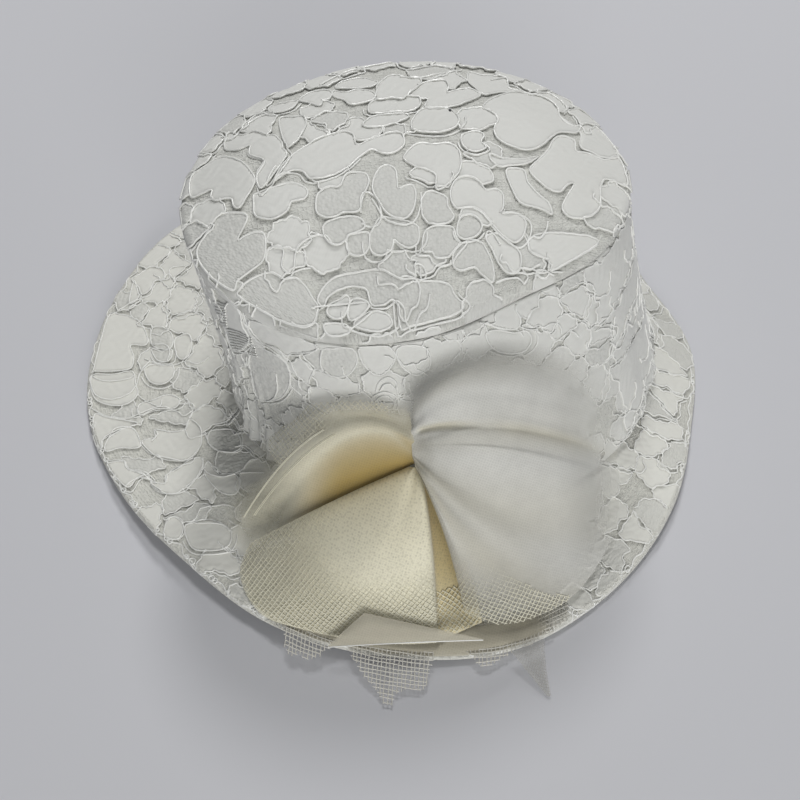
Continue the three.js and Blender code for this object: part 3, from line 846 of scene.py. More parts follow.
BAND_PETALS = (
    ("smooth", (244, 311, 252, 318, 268, 320, 292, 332, 319, 345, 312, 350, 292, 352, 288, 360,
     275, 350, 255, 335, 248, 322)),
    ("smooth", (230, 302, 240, 310, 245, 325, 252, 340, 240, 350, 230, 335, 225, 318)),
    ("textured", (255, 345, 270, 350, 288, 362, 292, 380, 285, 395, 272, 400, 260, 395, 255, 380,
     252, 360)),
    ("smooth", (360, 346, 372, 344, 390, 346, 396, 354, 392, 364, 382, 372, 370, 368, 362, 358)),
    ("smooth", (398, 346, 410, 343, 424, 345, 430, 354, 428, 366, 416, 372, 404, 366, 398, 356)),
    ("textured", (324, 348, 338, 346, 354, 348, 358, 360, 350, 372, 336, 374, 324, 366)),
    ("smooth", (480, 318, 488, 304, 500, 299, 509, 298, 512, 308, 518, 320, 512, 328, 496, 326,
     486, 322)),
    ("smooth", (484, 332, 496, 329, 512, 332, 524, 330, 528, 340, 520, 350, 504, 352, 490, 346)),
)
BAND_CORDS = (
    (230, 300, 240, 309, 246, 322, 260, 338, 278, 350, 288, 360, 292, 372, 292, 388),
    (252, 318, 252, 326, 265, 340, 280, 346, 288, 355, 298, 370, 302, 385, 312, 392),
    (285, 350, 292, 354, 310, 352, 320, 346),
    (252, 394, 262, 400, 275, 398, 280, 388, 278, 372),
    (516, 326, 528, 329, 540, 326, 548, 322, 556, 324, 558, 332),
    (554, 340, 560, 334, 570, 331, 576, 336),
    (477, 320, 486, 324, 500, 329, 514, 329, 520, 335),
    (372, 401, 375, 393, 385, 389, 396, 393, 399, 401, 396, 409, 388, 412, 378, 410, 373, 404),
    (376, 401, 379, 395, 386, 392, 393, 396, 395, 402, 391, 408, 384, 408, 378, 405),
    (377, 389, 380, 380, 388, 375, 396, 379, 398, 387),
    (381, 388, 385, 382, 391, 381, 395, 386),
)


def band_find(spots):
    """Places round the band and up it, in mm of cloth, of points on its outside."""
    height = np.full(len(spots), 0.5)
    for _ in range(4):
        _, _, half_length, half_width = wall_oval(height)
        x = spots[:, 0] - FOOT["x"] - (TOP["x"] - FOOT["x"]) * height
        y = spots[:, 1] - FOOT["y"] - (TOP["y"] - FOOT["y"]) * height
        degrees = np.mod(np.degrees(np.arctan2(y / half_width, x / half_length)), 360)
        foot = around(CROWN_FOOT, degrees) + SEAM_GAP
        height = (spots[:, 2] - foot) / (around(CROWN_TOP, degrees) - foot)
    return np.stack((degrees / 360 * BAND_ROUND, height * BAND_TALL), 1)


BAND_RIBS = (
    # fans of cords on the left of the wall: first cord, last cord and their number
    ((208, 299, 217, 301, 227, 305), (212, 320, 221, 322, 230, 326), 9),
    ((230, 328, 241, 331, 254, 337), (237, 350, 248, 352, 259, 356), 9),
    ((214, 350, 221, 376, 231, 410, 241, 447), (246, 384, 254, 408, 263, 434, 272, 458), 7),
)


side_tree = node_tree("crown_side")
seen_petals = read_petals(side_tree, BAND_PETALS, band_find)
side_petals = []
grown = grown_petals(crown_rng, (0, -4), (450, 84), 11, (1.2, 0.85), seen_petals)
for outline, texture in seen_petals + grown:
    for turn in (-BAND_ROUND, 0, BAND_ROUND):
        moved = outline + (turn, 0)
        if moved[:, 0].max() > -10 and moved[:, 0].min() < BAND_ROUND + 10:
            side_petals.append((moved, texture))


def side_place(u, v):
    """Up the outside, over the top edge and down the inside."""
    degrees = u * 360
    outside = (v > 0) & (v < BAND_OUTSIDE)
    inside = np.minimum(v * 10, (1 - v) / BAND_INSIDE)
    height = np.where(outside, v / BAND_OUTSIDE, inside)
    rise, marks = raised(u * BAND_ROUND, height * BAND_TALL, side_petals)
    edge = np.clip(np.minimum(height, 1 - height) / 0.01, 0, 1)
    points = band_point(degrees, height, np.where(outside, rise * edge, -WALL + 0.6))
    marks = {mark: values * outside for mark, values in marks.items()}
    return points, marks


crown_side = shaped_cloth("crown_side_lace", 620, 124, side_place, (0.45, 0.092), closed=True)


def side_cord(line):
    height = line[:, 1] / BAND_TALL
    rise, _ = raised(np.mod(line[:, 0], BAND_ROUND), line[:, 1], side_petals)
    placed = band_point(line[:, 0] / BAND_ROUND * 360, height, rise + CORD_LIFT)
    return placed[(height > 0.01) & (height < 0.99)]


def once_round(line):
    return 0 <= line[:, 0].mean() < BAND_ROUND


side_outlines = [outline for outline, _ in side_petals if once_round(outline)]
side_runs = petal_cords(side_outlines, side_petals, side_cord)
side_runs += [(side_cord(line), False) for line in echoes(side_petals, crown_rng, 0.4)
              if once_round(line)]
side_runs += read_cords(side_tree, BAND_CORDS, band_find, side_cord)
for first, last, count in BAND_RIBS:
    ribs_between = [np.array(first) + (np.array(last, float) - first) * part
                    for part in np.linspace(0, 1, count)]
    side_runs += read_cords(side_tree, ribs_between, band_find, side_cord)
crown_side_cords = couched("crown_side_cords", side_runs, 0.34)
crown_side.data.materials.append(white_lace)
crown_side_cords.data.materials.append(white_cord)
for piece in (crown_side, crown_side_cords):
    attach(piece, "root")
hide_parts("crown_side")

# Brim: one oval ring of cloth and lace, wide at the front, that bellies down a little and
# ends in a rolled edge which the cords run over.
MIDDLE = {"x": 10, "y": 10}
EDGE_REACH = (105, 101.5, 105, 111, 116, 119, 125, 134, 135.5, 132, 123.5, 117.5, 118.5, 118.5,
              119, 114, 108.5, 103.5)
EDGE_LIFT = (0, 0, 1, 1.5, 0, 0, 2, 3, 0.5, -0.7, 2, 5, 4, 2, 0, 0, 1, 0.5)
HEM = 3.2
BRIM_TOP = 0.8
HEM_TURN = 0.1
BRIM_BELOW = 0.9


def edge_lift(degrees):
    return np.maximum(around(EDGE_LIFT, degrees), 0)


def brim_start(angle):
    """Where the brim leaves the crown, in plan."""
    return (FOOT["x"] + (FOOT["half_length"] - WALL) * np.cos(angle),
            FOOT["y"] + (FOOT["half_width"] - WALL) * np.sin(angle))


def brim_point(degrees, share):
    """A point of the brim's top; past a share of 1 it turns down round the hem."""
    angle = np.radians(degrees)
    reach = around(EDGE_REACH, degrees)
    inner_x, inner_y = brim_start(angle)
    width = reach - FOOT["half_width"]
    inner = np.minimum(share, 1)
    turn = np.clip((share - 1) * width / (HEM / 2), 0, np.pi)
    x = inner_x + (MIDDLE["x"] + reach * np.cos(angle) - inner_x) * inner
    y = inner_y + (MIDDLE["y"] + reach * np.sin(angle) - inner_y) * inner
    x = x + HEM / 2 * np.sin(turn) * np.cos(angle)
    y = y + HEM / 2 * np.sin(turn) * np.sin(angle)
    belly = np.sin(np.pi * inner)
    wave = 1.2 * np.sin(3 * angle + 1) * belly
    foot = around(CROWN_FOOT, degrees)
    outer = edge_lift(degrees) + HEM
    z = foot + (outer - foot) * inner - 1.5 * belly + wave - HEM / 2 * (1 - np.cos(turn))
    return np.stack((x, y, z), 1)


def brim_find(x, y):
    """Direction and share of a place on the brim in plan."""
    degrees = np.degrees(np.arctan2(y - MIDDLE["y"], x - MIDDLE["x"]))
    share = np.zeros(x.shape)
    for _ in range(12):
        angle = np.radians(degrees)
        reach = around(EDGE_REACH, degrees)
        inner_x, inner_y = brim_start(angle)
        span_x = MIDDLE["x"] + reach * np.cos(angle) - inner_x
        span_y = MIDDLE["y"] + reach * np.sin(angle) - inner_y
        length = span_x**2 + span_y**2
        share = ((x - inner_x) * span_x + (y - inner_y) * span_y) / length
        off_x = x - inner_x - share * span_x
        off_y = y - inner_y - share * span_y
        slide = -off_x * np.sin(angle) + off_y * np.cos(angle)
        degrees = degrees + np.degrees(slide / (85 + 30 * np.clip(share, 0, 1)))
    return degrees, share


def on_brim(point):
    _, share = brim_find(np.array([point[0]]), np.array([point[1]]))
    return 0 < share[0] < 1.04


BRIM_PETALS = (
    ("smooth", (94, 370, 95, 350, 100, 330, 108, 318, 120, 315, 132, 318, 142, 325, 148, 340, 145,
     346, 131, 346, 134, 358, 131, 369, 115, 372, 95, 372)),
    ("smooth", (91, 382, 95, 375, 112, 375, 132, 372, 136, 385, 138, 395, 128, 405, 110, 406, 95,
     399)),
    ("smooth", (110, 312, 111, 305, 118, 295, 126, 282, 134, 282, 138, 292, 139, 299, 130, 305)),
    ("smooth", (142, 296, 150, 292, 155, 282, 165, 280, 162, 270, 150, 268, 140, 275, 132, 280,
     139, 288)),
    ("smooth", (145, 370, 155, 365, 172, 365, 173, 378, 162, 385, 150, 382)),
    ("textured", (152, 330, 162, 328, 172, 335, 172, 348, 162, 350, 152, 345)),
    ("textured", (152, 350, 162, 352, 172, 350, 170, 361, 158, 362)),
    ("smooth", (175, 340, 188, 335, 192, 345, 188, 358, 178, 358)),
    ("smooth", (140, 405, 155, 400, 168, 395, 180, 400, 175, 409, 155, 410, 140, 416)),
    ("smooth", (108, 440, 122, 430, 132, 428, 138, 436, 140, 448, 120, 449, 106, 452)),
    ("smooth", (142, 442, 155, 438, 155, 430, 170, 432, 185, 430, 190, 420, 200, 428, 202, 438,
     200, 448, 188, 460, 170, 461, 155, 456)),
    ("smooth", (108, 466, 112, 461, 125, 462, 128, 470, 142, 474, 148, 480, 138, 478, 130, 488,
     120, 482)),
    ("smooth", (166, 476, 180, 468, 190, 460, 202, 459, 202, 472, 190, 485, 175, 495, 160, 492,
     151, 484, 165, 484)),
    ("smooth", (208, 462, 220, 475, 235, 475, 240, 485, 235, 495, 220, 492, 205, 475)),
    ("smooth", (166, 538, 165, 528, 172, 518, 182, 521, 183, 532, 178, 540)),
    ("smooth", (185, 528, 198, 522, 210, 520, 225, 526, 232, 535, 228, 548, 210, 552, 192, 548)),
    ("textured", (210, 432, 220, 430, 232, 430, 240, 438, 240, 450, 228, 454, 215, 449, 208, 442)),
    ("smooth", (95, 415, 108, 418, 128, 422, 138, 425, 120, 430, 105, 438, 102, 450, 95, 435)),
)
BRIM_CORDS = (
    (111, 316, 124, 309, 138, 301, 151, 296, 155, 282, 169, 280, 171, 270, 185, 267),
    (91, 377, 105, 382, 128, 380, 134, 376),
    (91, 384, 96, 396, 110, 401, 128, 396, 136, 387, 140, 374, 151, 362),
    (90, 409, 103, 415, 126, 420, 140, 415, 160, 408, 176, 412, 185, 417, 194, 410, 192, 405,
     180, 405),
    (138, 395, 145, 401, 160, 408, 162, 401),
    (107, 442, 115, 430, 130, 428, 138, 435, 142, 446, 153, 455, 176, 461, 190, 460, 201, 446,
     202, 435, 208, 433),
    (108, 465, 124, 462, 127, 469, 144, 475, 153, 482, 166, 484, 168, 475, 176, 468, 192, 463,
     196, 458, 203, 460, 201, 471, 192, 485, 183, 493, 169, 495, 155, 490, 151, 479),
    (203, 458, 205, 471, 221, 478, 240, 474, 265, 474),
    (165, 533, 167, 521, 176, 518, 183, 525, 185, 533, 178, 541),
    (185, 525, 196, 520, 201, 510, 212, 507, 226, 505, 237, 509),
    (196, 524, 212, 524, 224, 526, 233, 533),
    (205, 432, 209, 444, 220, 452, 238, 453, 243, 444, 240, 428, 230, 410),
    (152, 442, 158, 435, 155, 430, 170, 432, 185, 430, 189, 421),
    (148, 338, 152, 345, 165, 346, 170, 352, 168, 362),
    (145, 360, 155, 364, 172, 366, 185, 362, 198, 365, 210, 358),
    (125, 488, 138, 479, 148, 476, 152, 485, 162, 492),
)
brim_rng = np.random.default_rng(5)
brim_tree = node_tree("brim")
brim_petals = read_petals(brim_tree, BRIM_PETALS, in_plan)
brim_petals += [
    (outline, texture)
    for outline, texture in grown_petals(brim_rng, (-130, -115), (125, 135), 11.5,
                                         (1.6, 0.62), brim_petals)
    if on_brim(outline.mean(0))
]


def brim_place(u, v):
    """Over the top from the crown to the edge, round the hem and back underneath."""
    degrees = u * 360
    top = v < BRIM_TOP
    share = np.where(top, v / BRIM_TOP, 1)
    width = around(EDGE_REACH, degrees) - FOOT["half_width"]
    turn = np.clip((v - BRIM_TOP) / HEM_TURN, 0, 1) * np.pi
    points = brim_point(degrees, share + turn * (HEM / 2) / width)
    height, marks = raised(points[:, 0], points[:, 1], brim_petals)
    upright = np.where(top, 1, np.clip(np.cos(turn), 0, 1))
    points[:, 2] += height * upright * np.clip(share / 0.02, 0, 1)
    below = (v == 0) | (v > BRIM_BELOW)
    back = brim_point(degrees, np.minimum(v * 10, (1 - v) / HEM_TURN))
    back[:, 2] = np.maximum(back[:, 2] - WALL, edge_lift(degrees))
    points = np.where(below[:, None], back, points)
    marks = {mark: values * top for mark, values in marks.items()}
    return points, marks


brim = shaped_cloth("brim_lace", 840, 92, brim_place, (0.6, 0.075), closed=True)


def brim_cord(line):
    degrees, share = brim_find(line[:, 0], line[:, 1])
    placed = brim_point(degrees, share)
    height, _ = raised(line[:, 0], line[:, 1], brim_petals)
    placed[:, 2] += np.where(share < 1, height + CORD_LIFT, 0.15)
    return placed[(share > 0.02) & (share < 1.05)]


brim_runs = petal_cords([outline for outline, _ in brim_petals], brim_petals, brim_cord)
brim_runs += [(brim_cord(line), False) for line in echoes(brim_petals, brim_rng, 0.4)]
hem_turn = np.arange(0, 360, 0.4)
hem_share = 1 + 0.02 * np.sin(np.radians(hem_turn * 41)) * np.sin(np.radians(hem_turn * 7))
hem_share += 0.012 * np.sin(np.radians(hem_turn * 97 + 40))
hem_line = brim_point(hem_turn, hem_share)
hem_line[:, 2] += 0.15
brim_runs.append((hem_line, True))
for lump in np.concatenate((brim_rng.uniform(178, 252, 44), brim_rng.uniform(295, 360, 14))):
    lump_turn = np.arange(0, 2 * np.pi, 0.5)
    size = brim_rng.uniform(0.5, 1.3)
    looped = brim_point(lump + size / 2.1 * np.cos(lump_turn),
                        1.005 + size / 55 * np.sin(lump_turn))
    looped[:, 2] += 0.3
    brim_runs.append((looped, True))
brim_runs += read_cords(brim_tree, BRIM_CORDS, in_plan, brim_cord)
brim_cords = couched("brim_cords", brim_runs, 0.3)
cream_lace = lace_cloth("cream_corded_lace", (0.79, 0.785, 0.735, 1), (0.75, 0.745, 0.69, 1))
brim.data.materials.append(cream_lace)
brim_cords.data.materials.append(white_cord)
for piece in (brim, brim_cords):
    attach(piece, "root")
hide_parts("brim")

# Left wing of the bow: a loop of cream net under fine tulle, rolled into a band that stands
# up from the brim, with a deep golden pocket where its layers meet at the gather; its gold is
# partly the deeper tone of the stacked layers and partly painted warm shade. A thin veil runs
# on from the band over the brim.
LEFT_WING = (
    # start, mid and end of each fold in mm, placed from the photo with a scratch script and
    # then mostly changed by hand
    ((3, -56.5, 41), (-22.5, -59, 26.5), (-53.5, -62.5, 11)),
    ((3.5, -56.5, 43.5), (-21, -57, 35), (-51.5, -60.5, 12.5)),
    ((3.5, -56.5, 47), (-19.5, -52.5, 46.5), (-50.5, -58, 13)),
    ((4, -56.5, 50.5), (-20.5, -51.5, 52.5), (-54, -58, 12.5)),
    ((3.5, -56, 54), (-23, -51.5, 55.5), (-58, -57, 13)),
    ((3, -54.5, 57), (-27, -49.5, 57), (-61.5, -56, 12.5)),
    ((3, -52.5, 61), (-30.5, -46, 57), (-61.5, -35, 11.5)),
    ((2.5, -50.5, 64), (-25.5, -45, 62.5), (-45.5, -30.5, 26.5)),
    ((1.5, -49, 65), (-21, -44, 66), (-36, -36, 51.5)),
)
LEFT_VEIL = (
    ((-27.5, -51.5, 45), (-52.5, -41, 15.5), (-68.5, -46, 12)),
    ((-25.5, -53, 41), (-51, -48, 16), (-67, -57, 11)),
    ((-25, -53.5, 37), (-49.5, -54.5, 16), (-63, -68.5, 10.5)),
    ((-26.5, -54, 30), (-46.5, -62.5, 15), (-56, -78.5, 10)),
)
GATHER = np.array((2.5, -57, 46))
NET_PITCH = 1.4
NET_THREAD = 0.17
LEFT_COLUMNS = 160
PANEL_COLUMNS = 110
RIGHT_COLUMNS = 230


def bent(start, mid, end, t):
    """A point of the simple curve that passes its start, mid and end."""
    return start * (1 - t) * (1 - 2 * t) + mid * 4 * t * (1 - t) + end * t * (2 * t - 1)


def fold_point(rows, u, v):
    """A point of gathered cloth: u goes across its folds, v from the gather outwards."""
    rows = np.asarray(rows, float)
    place = np.minimum(u * (len(rows) - 1), len(rows) - 1 - 1e-9)
    row = np.floor(place).astype(int)
    four = [rows[np.clip(row + k, 0, len(rows) - 1)] for k in (-1, 0, 1, 2)]
    fold = smooth(*four, (place - row)[:, None, None])
    return bent(fold[:, 0], fold[:, 1], fold[:, 2], v[:, None])


def eased(value, low, high):
    """0 below low, 1 above high, and smooth between them."""
    t = np.clip((value - low) / (high - low), 0, 1)
    return t * t * (3 - 2 * t)


def net_lines(place, pitch, turn, keep, lift=0.0):
    """Threads of a square net laid on place(u, v), where keep(u, v) says that net is there."""
    steps = 71
    share = np.linspace(0, 1, steps)
    u, v = (part.ravel() for part in np.meshgrid(share, share, indexing="ij"))
    grid = place(u, v)[0].reshape(steps, steps, 3)
    down = np.linalg.norm(np.diff(grid, axis=1), axis=2).mean(0)
    along = np.concatenate(([0], np.cumsum(down)))
    wide = np.cumsum(np.linalg.norm(np.diff(grid, axis=0), axis=2), axis=0)
    wide = np.concatenate((np.zeros((1, steps)), wide))
    wide = wide - wide[steps // 2]
    reach = np.hypot(np.abs(wide).max(), along[-1])
    t = np.arange(-reach, reach, 0.8)
    runs = []
    for angle in (math.radians(turn), math.radians(turn + 90)):
        for k in range(-int(reach / pitch), int(reach / pitch) + 1):
            sway = 0.09 * pitch * np.sin(t / 4.1 + 2.3 * k) + 0.05 * pitch * np.sin(t / 1.7 + k)
            a = -math.sin(angle) * (k * pitch + sway) + math.cos(angle) * t
            b = math.cos(angle) * (k * pitch + sway) + math.sin(angle) * t
            on_cloth = (b >= 0) & (b <= along[-1])
            a, b = a[on_cloth], b[on_cloth]
            if len(a) < 3:
                continue
            v = np.interp(b, along, share)
            column = np.minimum((v * (steps - 1)).astype(int), steps - 2)
            part = v * (steps - 1) - column
            u = np.array([
                np.interp(a[i], wide[:, column[i]] * (1 - part[i])
                          + wide[:, column[i] + 1] * part[i], share, left=-1, right=2)
                for i in range(len(a))
            ])
            held = (u >= 0) & (u <= 1)
            held[held] = keep(u[held], v[held])
            breaks = np.flatnonzero(np.diff(held.astype(int))) + 1
            for piece_u, piece_v, piece_held in zip(np.split(u, breaks), np.split(v, breaks),
                                                    np.split(held, breaks)):
                if piece_held[0] and len(piece_u) > 2:
                    points = place(piece_u, piece_v)[0]
                    points[:, 2] += lift
                    runs.append(points)
    return runs


def net_laid(sheet, columns, pitch, turn, keep, lift):
    """Threads of a square net that run straight over a sheet, where keep(u, v) allows them."""
    corners = [corner.co for corner in sheet.data.vertices]
    faces = [face.vertices for face in sheet.data.polygons]
    tree = BVHTree.FromPolygons(corners, faces)
    rows = len(faces) // columns
    rise = Vector((0, 0.8, 0.6))
    towards = Vector((0, -0.6, 0.8))
    wide = np.array([corner.x for corner in corners]) * 1000
    tall = np.array([corner.dot(rise) for corner in corners]) * 1000
    reach = np.hypot(np.ptp(wide), np.ptp(tall)) / 2
    t = np.arange(-reach, reach, 0.8)
    runs = []
    for angle in (math.radians(turn), math.radians(turn + 90)):
        for k in range(-int(reach / pitch), int(reach / pitch) + 1):
            off = k * pitch + 0.08 * pitch * (np.sin(t / 4.1 + 2.3 * k) + np.sin(t / 1.7 + k))
            across = (wide.max() + wide.min()) / 2 + math.cos(angle) * t - math.sin(angle) * off
            up = (tall.max() + tall.min()) / 2 + math.sin(angle) * t + math.cos(angle) * off
            run = []
            for a, b in zip(across, up):
                start = (Vector((a, 0, 0)) + rise * b + towards * 200) * MM
                spot, _, face, _ = tree.ray_cast(start, -towards)
                shown = spot is not None
                if shown:
                    shown = keep((face % columns + 0.5) / columns, (face // columns + 0.5) / rows)
                if shown:
                    run.append(np.array(spot + towards * lift * MM) * 1000 - STAND)
                elif run:
                    runs.append(np.array(run))
                    run = []
            if run:
                runs.append(np.array(run))
    return [run for run in runs if len(run) > 2]


def threads(name, runs, radius, low=0, high=1, least=1):
    """Net threads as one mesh of tubes; they thin to a share of it with their height."""
    net = tubes(name, [(points, False, 1 - (1 - least) * eased(points[:, 2], low, high))
                       for points in runs], radius)
    flat = np.empty(len(net.data.vertices) * 3)
    net.data.vertices.foreach_get("co", flat)
    away = np.linalg.norm(flat.reshape(-1, 3) * 1000 - STAND - GATHER, axis=1)
    # Threads near the gather get a gold mark: partly the deeper tone of the bunched net and partly
    # painted warm shade.
    layer = net.data.attributes.new("gold", "FLOAT", "POINT")
    layer.data.foreach_set("value", (0.6 * (1 - eased(away, 2, 36))).astype(np.float32))
    return net


tulle_mesh, entry, leave = node_group(
    "tulle_mesh",
    [("Cloth", "NodeSocketVector"), ("Cover", "NodeSocketFloat"), ("Gold", "NodeSocketFloat"),
     ("Dots", "NodeSocketFloat"), ("Thread Colour", "NodeSocketColor"),
     ("Gold Colour", "NodeSocketColor")],
    [("Colour", "NodeSocketColor"), ("Alpha", "NodeSocketFloat"),
     ("Height", "NodeSocketFloat")],
)
cells_of_mesh = put(tulle_mesh, "ShaderNodeTexVoronoi",
                    {"feature": "DISTANCE_TO_EDGE", "voronoi_dimensions": "2D"},
                    {"Vector": entry.outputs["Cloth"], "Scale": 1150.0, "Randomness": 0.35})
drape = put(tulle_mesh, "ShaderNodeTexNoise", {},
            {"Vector": entry.outputs["Cloth"], "Scale": 130.0, "Detail": 2.0})
thread_mark = ranged(tulle_mesh, cells_of_mesh.outputs["Distance"], (0.04, 0.2), (1, 0))
opening = ranged(tulle_mesh, thread_mark, (0, 1), (-0.06, 0.06))
patchy = ranged(tulle_mesh, drape.outputs["Fac"], (0.3, 0.7), (-0.05, 0.05))
solid = sums(tulle_mesh, "ADD", entry.outputs["Cover"],
             sums(tulle_mesh, "MULTIPLY", sums(tulle_mesh, "ADD", opening, patchy),
                  entry.outputs["Cover"]))
kept_alpha = put(tulle_mesh, "ShaderNodeClamp", {}, {"Value": solid}).outputs[0]
hole_mark = put(tulle_mesh, "ShaderNodeTexVoronoi",
                {"feature": "F1", "voronoi_dimensions": "2D"},
                {"Vector": entry.outputs["Cloth"], "Scale": 700.0, "Randomness": 0.8})
dots = ranged(tulle_mesh, hole_mark.outputs["Distance"], (0.12, 0.34), (1, 0))
# The gold mark, partly the layers' deeper tone and partly painted warm shade, tints the threads
# towards the gold colour.
spun = blend_colours(tulle_mesh, entry.outputs["Gold"], entry.outputs["Thread Colour"],
                     entry.outputs["Gold Colour"])
tulle_mesh.links.new(
    blend_colours(tulle_mesh, sums(tulle_mesh, "MULTIPLY", dots, entry.outputs["Dots"]),
                  spun, (0.3, 0.26, 0.17, 1)), leave.inputs["Colour"])
tulle_mesh.links.new(kept_alpha, leave.inputs["Alpha"])
tulle_mesh.links.new(thread_mark, leave.inputs["Height"])


def tulle(name, thread_colour, gold_colour, dotted):
    material, tree, shader = painted(name)
    place = put(tree, "ShaderNodeTexCoord", {}, {})
    leaned = put(tree, "ShaderNodeMapping", {},
                 {"Vector": place.outputs["Object"], "Rotation": (math.radians(-37), 0, 0.4)})
    mesh = put(tree, "ShaderNodeGroup", {"node_tree": tulle_mesh},
               {"Cloth": leaned.outputs[0], "Cover": mark_of(tree, "cover"),
                "Gold": mark_of(tree, "gold"), "Thread Colour": thread_colour,
                "Gold Colour": gold_colour, "Dots": dotted})
    relief = put(tree, "ShaderNodeBump", {},
                 {"Height": mesh.outputs["Height"], "Strength": 0.12, "Distance": 0.0002})
    tree.links.new(mesh.outputs["Colour"], shader.inputs["Base Color"])
    tree.links.new(mesh.outputs["Alpha"], shader.inputs["Alpha"])
    tree.links.new(relief.outputs[0], shader.inputs["Normal"])
    shader.inputs["Roughness"].default_value = 0.75
    shader.inputs["Specular IOR Level"].default_value = 0.25
    shader.inputs["Sheen Weight"].default_value = 0.2
    return material


def net_thread(name, colour, gold_colour):
    material, tree, shader = painted(name)
    place = put(tree, "ShaderNodeTexCoord", {}, {})
    fibres = put(tree, "ShaderNodeTexNoise", {},
                 {"Vector": place.outputs["Object"], "Scale": 900.0, "Detail": 2.0})
    spun = blend_colours(tree, fibres.outputs["Fac"], colour,
                         tuple(0.86 * part for part in colour[:3]) + (1,))
    # The gold mark tints the thread: partly the bunched net's deeper tone, partly painted warm
    # shade.
    tint = blend_colours(tree, mark_of(tree, "gold"), spun, gold_colour)
    tree.links.new(tint, shader.inputs["Base Color"])
    shader.inputs["Roughness"].default_value = 0.55
    return material


def left_wing_place(u, v):
    points = fold_point(LEFT_WING, u, v)
    points[:, 2] += 0.35 * np.sin(np.pi * v) * np.sin(2 * np.pi * 4 * u + 3 * v)
    # Gold tint, strongest deep in the pocket and near the gather, faint elsewhere: partly the
    # deeper tone of the stacked cream layers and partly painted warm shade.
    deep = (1 - eased(u, 0.1, 0.45)) * (1 - eased(v, 0.5, 1))
    gold = np.maximum(deep, 0.7 * (1 - eased(v, 0.02, 0.3)) * (1 - eased(u, 0.3, 0.65)))
    gold = np.maximum(gold, 0.14 + 0.1 * (1 - eased(v, 0.1, 0.5)))
    cover = 0.97 - 0.45 * eased(u, 0.36, 0.56) - 0.52 * eased(u, 0.68, 0.97)
    cover = cover * (1 - 0.85 * eased(v, 0.7, 1))
    cover = cover * (1 - 0.6 * eased(u, 0.5, 0.7) * eased(v, 0.3, 0.6))
    return points, {"gold": gold, "cover": cover}


def left_veil_place(u, v):
    points = fold_point(LEFT_VEIL, u, v)
    points[:, 2] += 0.5 * np.sin(np.pi * v) * np.sin(2 * np.pi * 2.3 * u + 2 * v)
    cover = 0.62 * np.sin(np.pi * np.clip(u, 0, 1)) ** 0.8 * (1 - eased(v, 0.55, 1))
    cover = cover * eased(v, 0.04, 0.4)
    return points, {"gold": 0 * u, "cover": cover}


cream_tulle = tulle("cream_tulle", (0.93, 0.89, 0.71, 1), (0.66, 0.51, 0.2, 1), 0.22)
left_wing = shaped_cloth("left_wing_tulle", LEFT_COLUMNS, 80, left_wing_place, (0.06, 0.075))
left_veil = shaped_cloth("left_wing_veil", 50, 50, left_veil_place, (0.04, 0.05))
left_net = threads(
    "left_wing_net",
    net_laid(left_wing, LEFT_COLUMNS, NET_PITCH, 40,
             lambda u, v: 0.56 < u < 0.93 and 0.1 < v < 0.75, -0.2), 0.1)
along_hem = np.linspace(0.5, 0.97, 40)
left_hems = threads(
    "left_wing_hems",
    [left_wing_place(0 * along_hem + fold, along_hem)[0] + (0, -0.1, 0.1)
     for fold in (0.46, 0.475, 0.58, 0.59)], 0.16)
cream_thread = net_thread("cream_net_thread", (0.88, 0.85, 0.7, 1), (0.8, 0.68, 0.36, 1))
# The left wing's tulle is a darker copy of the cream tulle with a deeper gold: painted shade
# inside the loop and its pocket, over the deeper tone of its stacked layers.
shade_painted_pocket_tulle = tulle("shade_painted_pocket_tulle", (0.75, 0.73, 0.61, 1), (0.44, 0.32, 0.11, 1), 0.1)
left_wing.data.materials.append(shade_painted_pocket_tulle)
left_veil.data.materials.append(cream_tulle)
left_net.data.materials.append(cream_thread)
left_hems.data.materials.append(cream_thread)
for piece in (left_wing, left_veil, left_net, left_hems):
    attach(piece, "root")
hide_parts("net_left_wing")

# Front panel of the bow: a fan of coarse cream net over tulle that runs down from the gather
# to the brim. Its layers close the net's holes near the gather and open towards the edge, and
# its right side dips into a golden valley, whose gold is partly the deeper tone of the stacked
# layers and partly painted warm shade.
FRONT_PANEL = (
    ((1.5, -57.5, 41), (-25, -60, 28), (-57, -65, 12)),
    ((1.5, -58, 41.5), (-27, -69, 30.5), (-60.5, -76.5, 11)),
    ((2.5, -59, 42.5), (-24, -80, 32.5), (-53.5, -91, 9)),
    ((2.5, -59, 42.5), (-16, -87.5, 34), (-37.5, -98.5, 8.5)),
    ((3.5, -59, 42), (-8, -89.5, 34.5), (-22.5, -103, 8)),
    ((4, -60, 42.5), (-0.5, -88.5, 35), (-7, -106, 8)),
    ((4.5, -60, 42.5), (5.5, -85, 35.5), (4, -107, 9)),
    ((5, -59, 41), (7, -80.5, 28.5), (6.5, -106, 8)),
    ((5, -57.5, 40), (11.5, -77, 23.5), (14, -103, 7.5)),
    ((5, -57.5, 40.5), (15.5, -76.5, 23.5), (21, -100.5, 7.5)),
)


def front_panel_place(u, v):
    points = fold_point(FRONT_PANEL, u, v)
    valley = eased(u, 0.69, 0.78)
    # Gold tint near the gather and in the valley: partly the deeper tone of the stacked cream
    # layers and partly painted warm shade.
    gold = 0.16 * (1 - eased(v, 0.05, 0.6)) + valley * (0.72 - 0.35 * eased(v, 0.6, 1))
    edge = np.minimum(1, eased(u, 0, 0.3) + 1 - eased(v, 0.3, 0.7))
    cover = (0.98 - (0.6 - 0.3 * edge) * eased(v, 0.5, 0.95)) * (1 - valley) + valley * 0.96
    return points, {"gold": np.minimum(gold, 1), "cover": cover}


def panel_net_kept(u, v):
    return v > 0.3 and u < 0.72 or v > 0.76


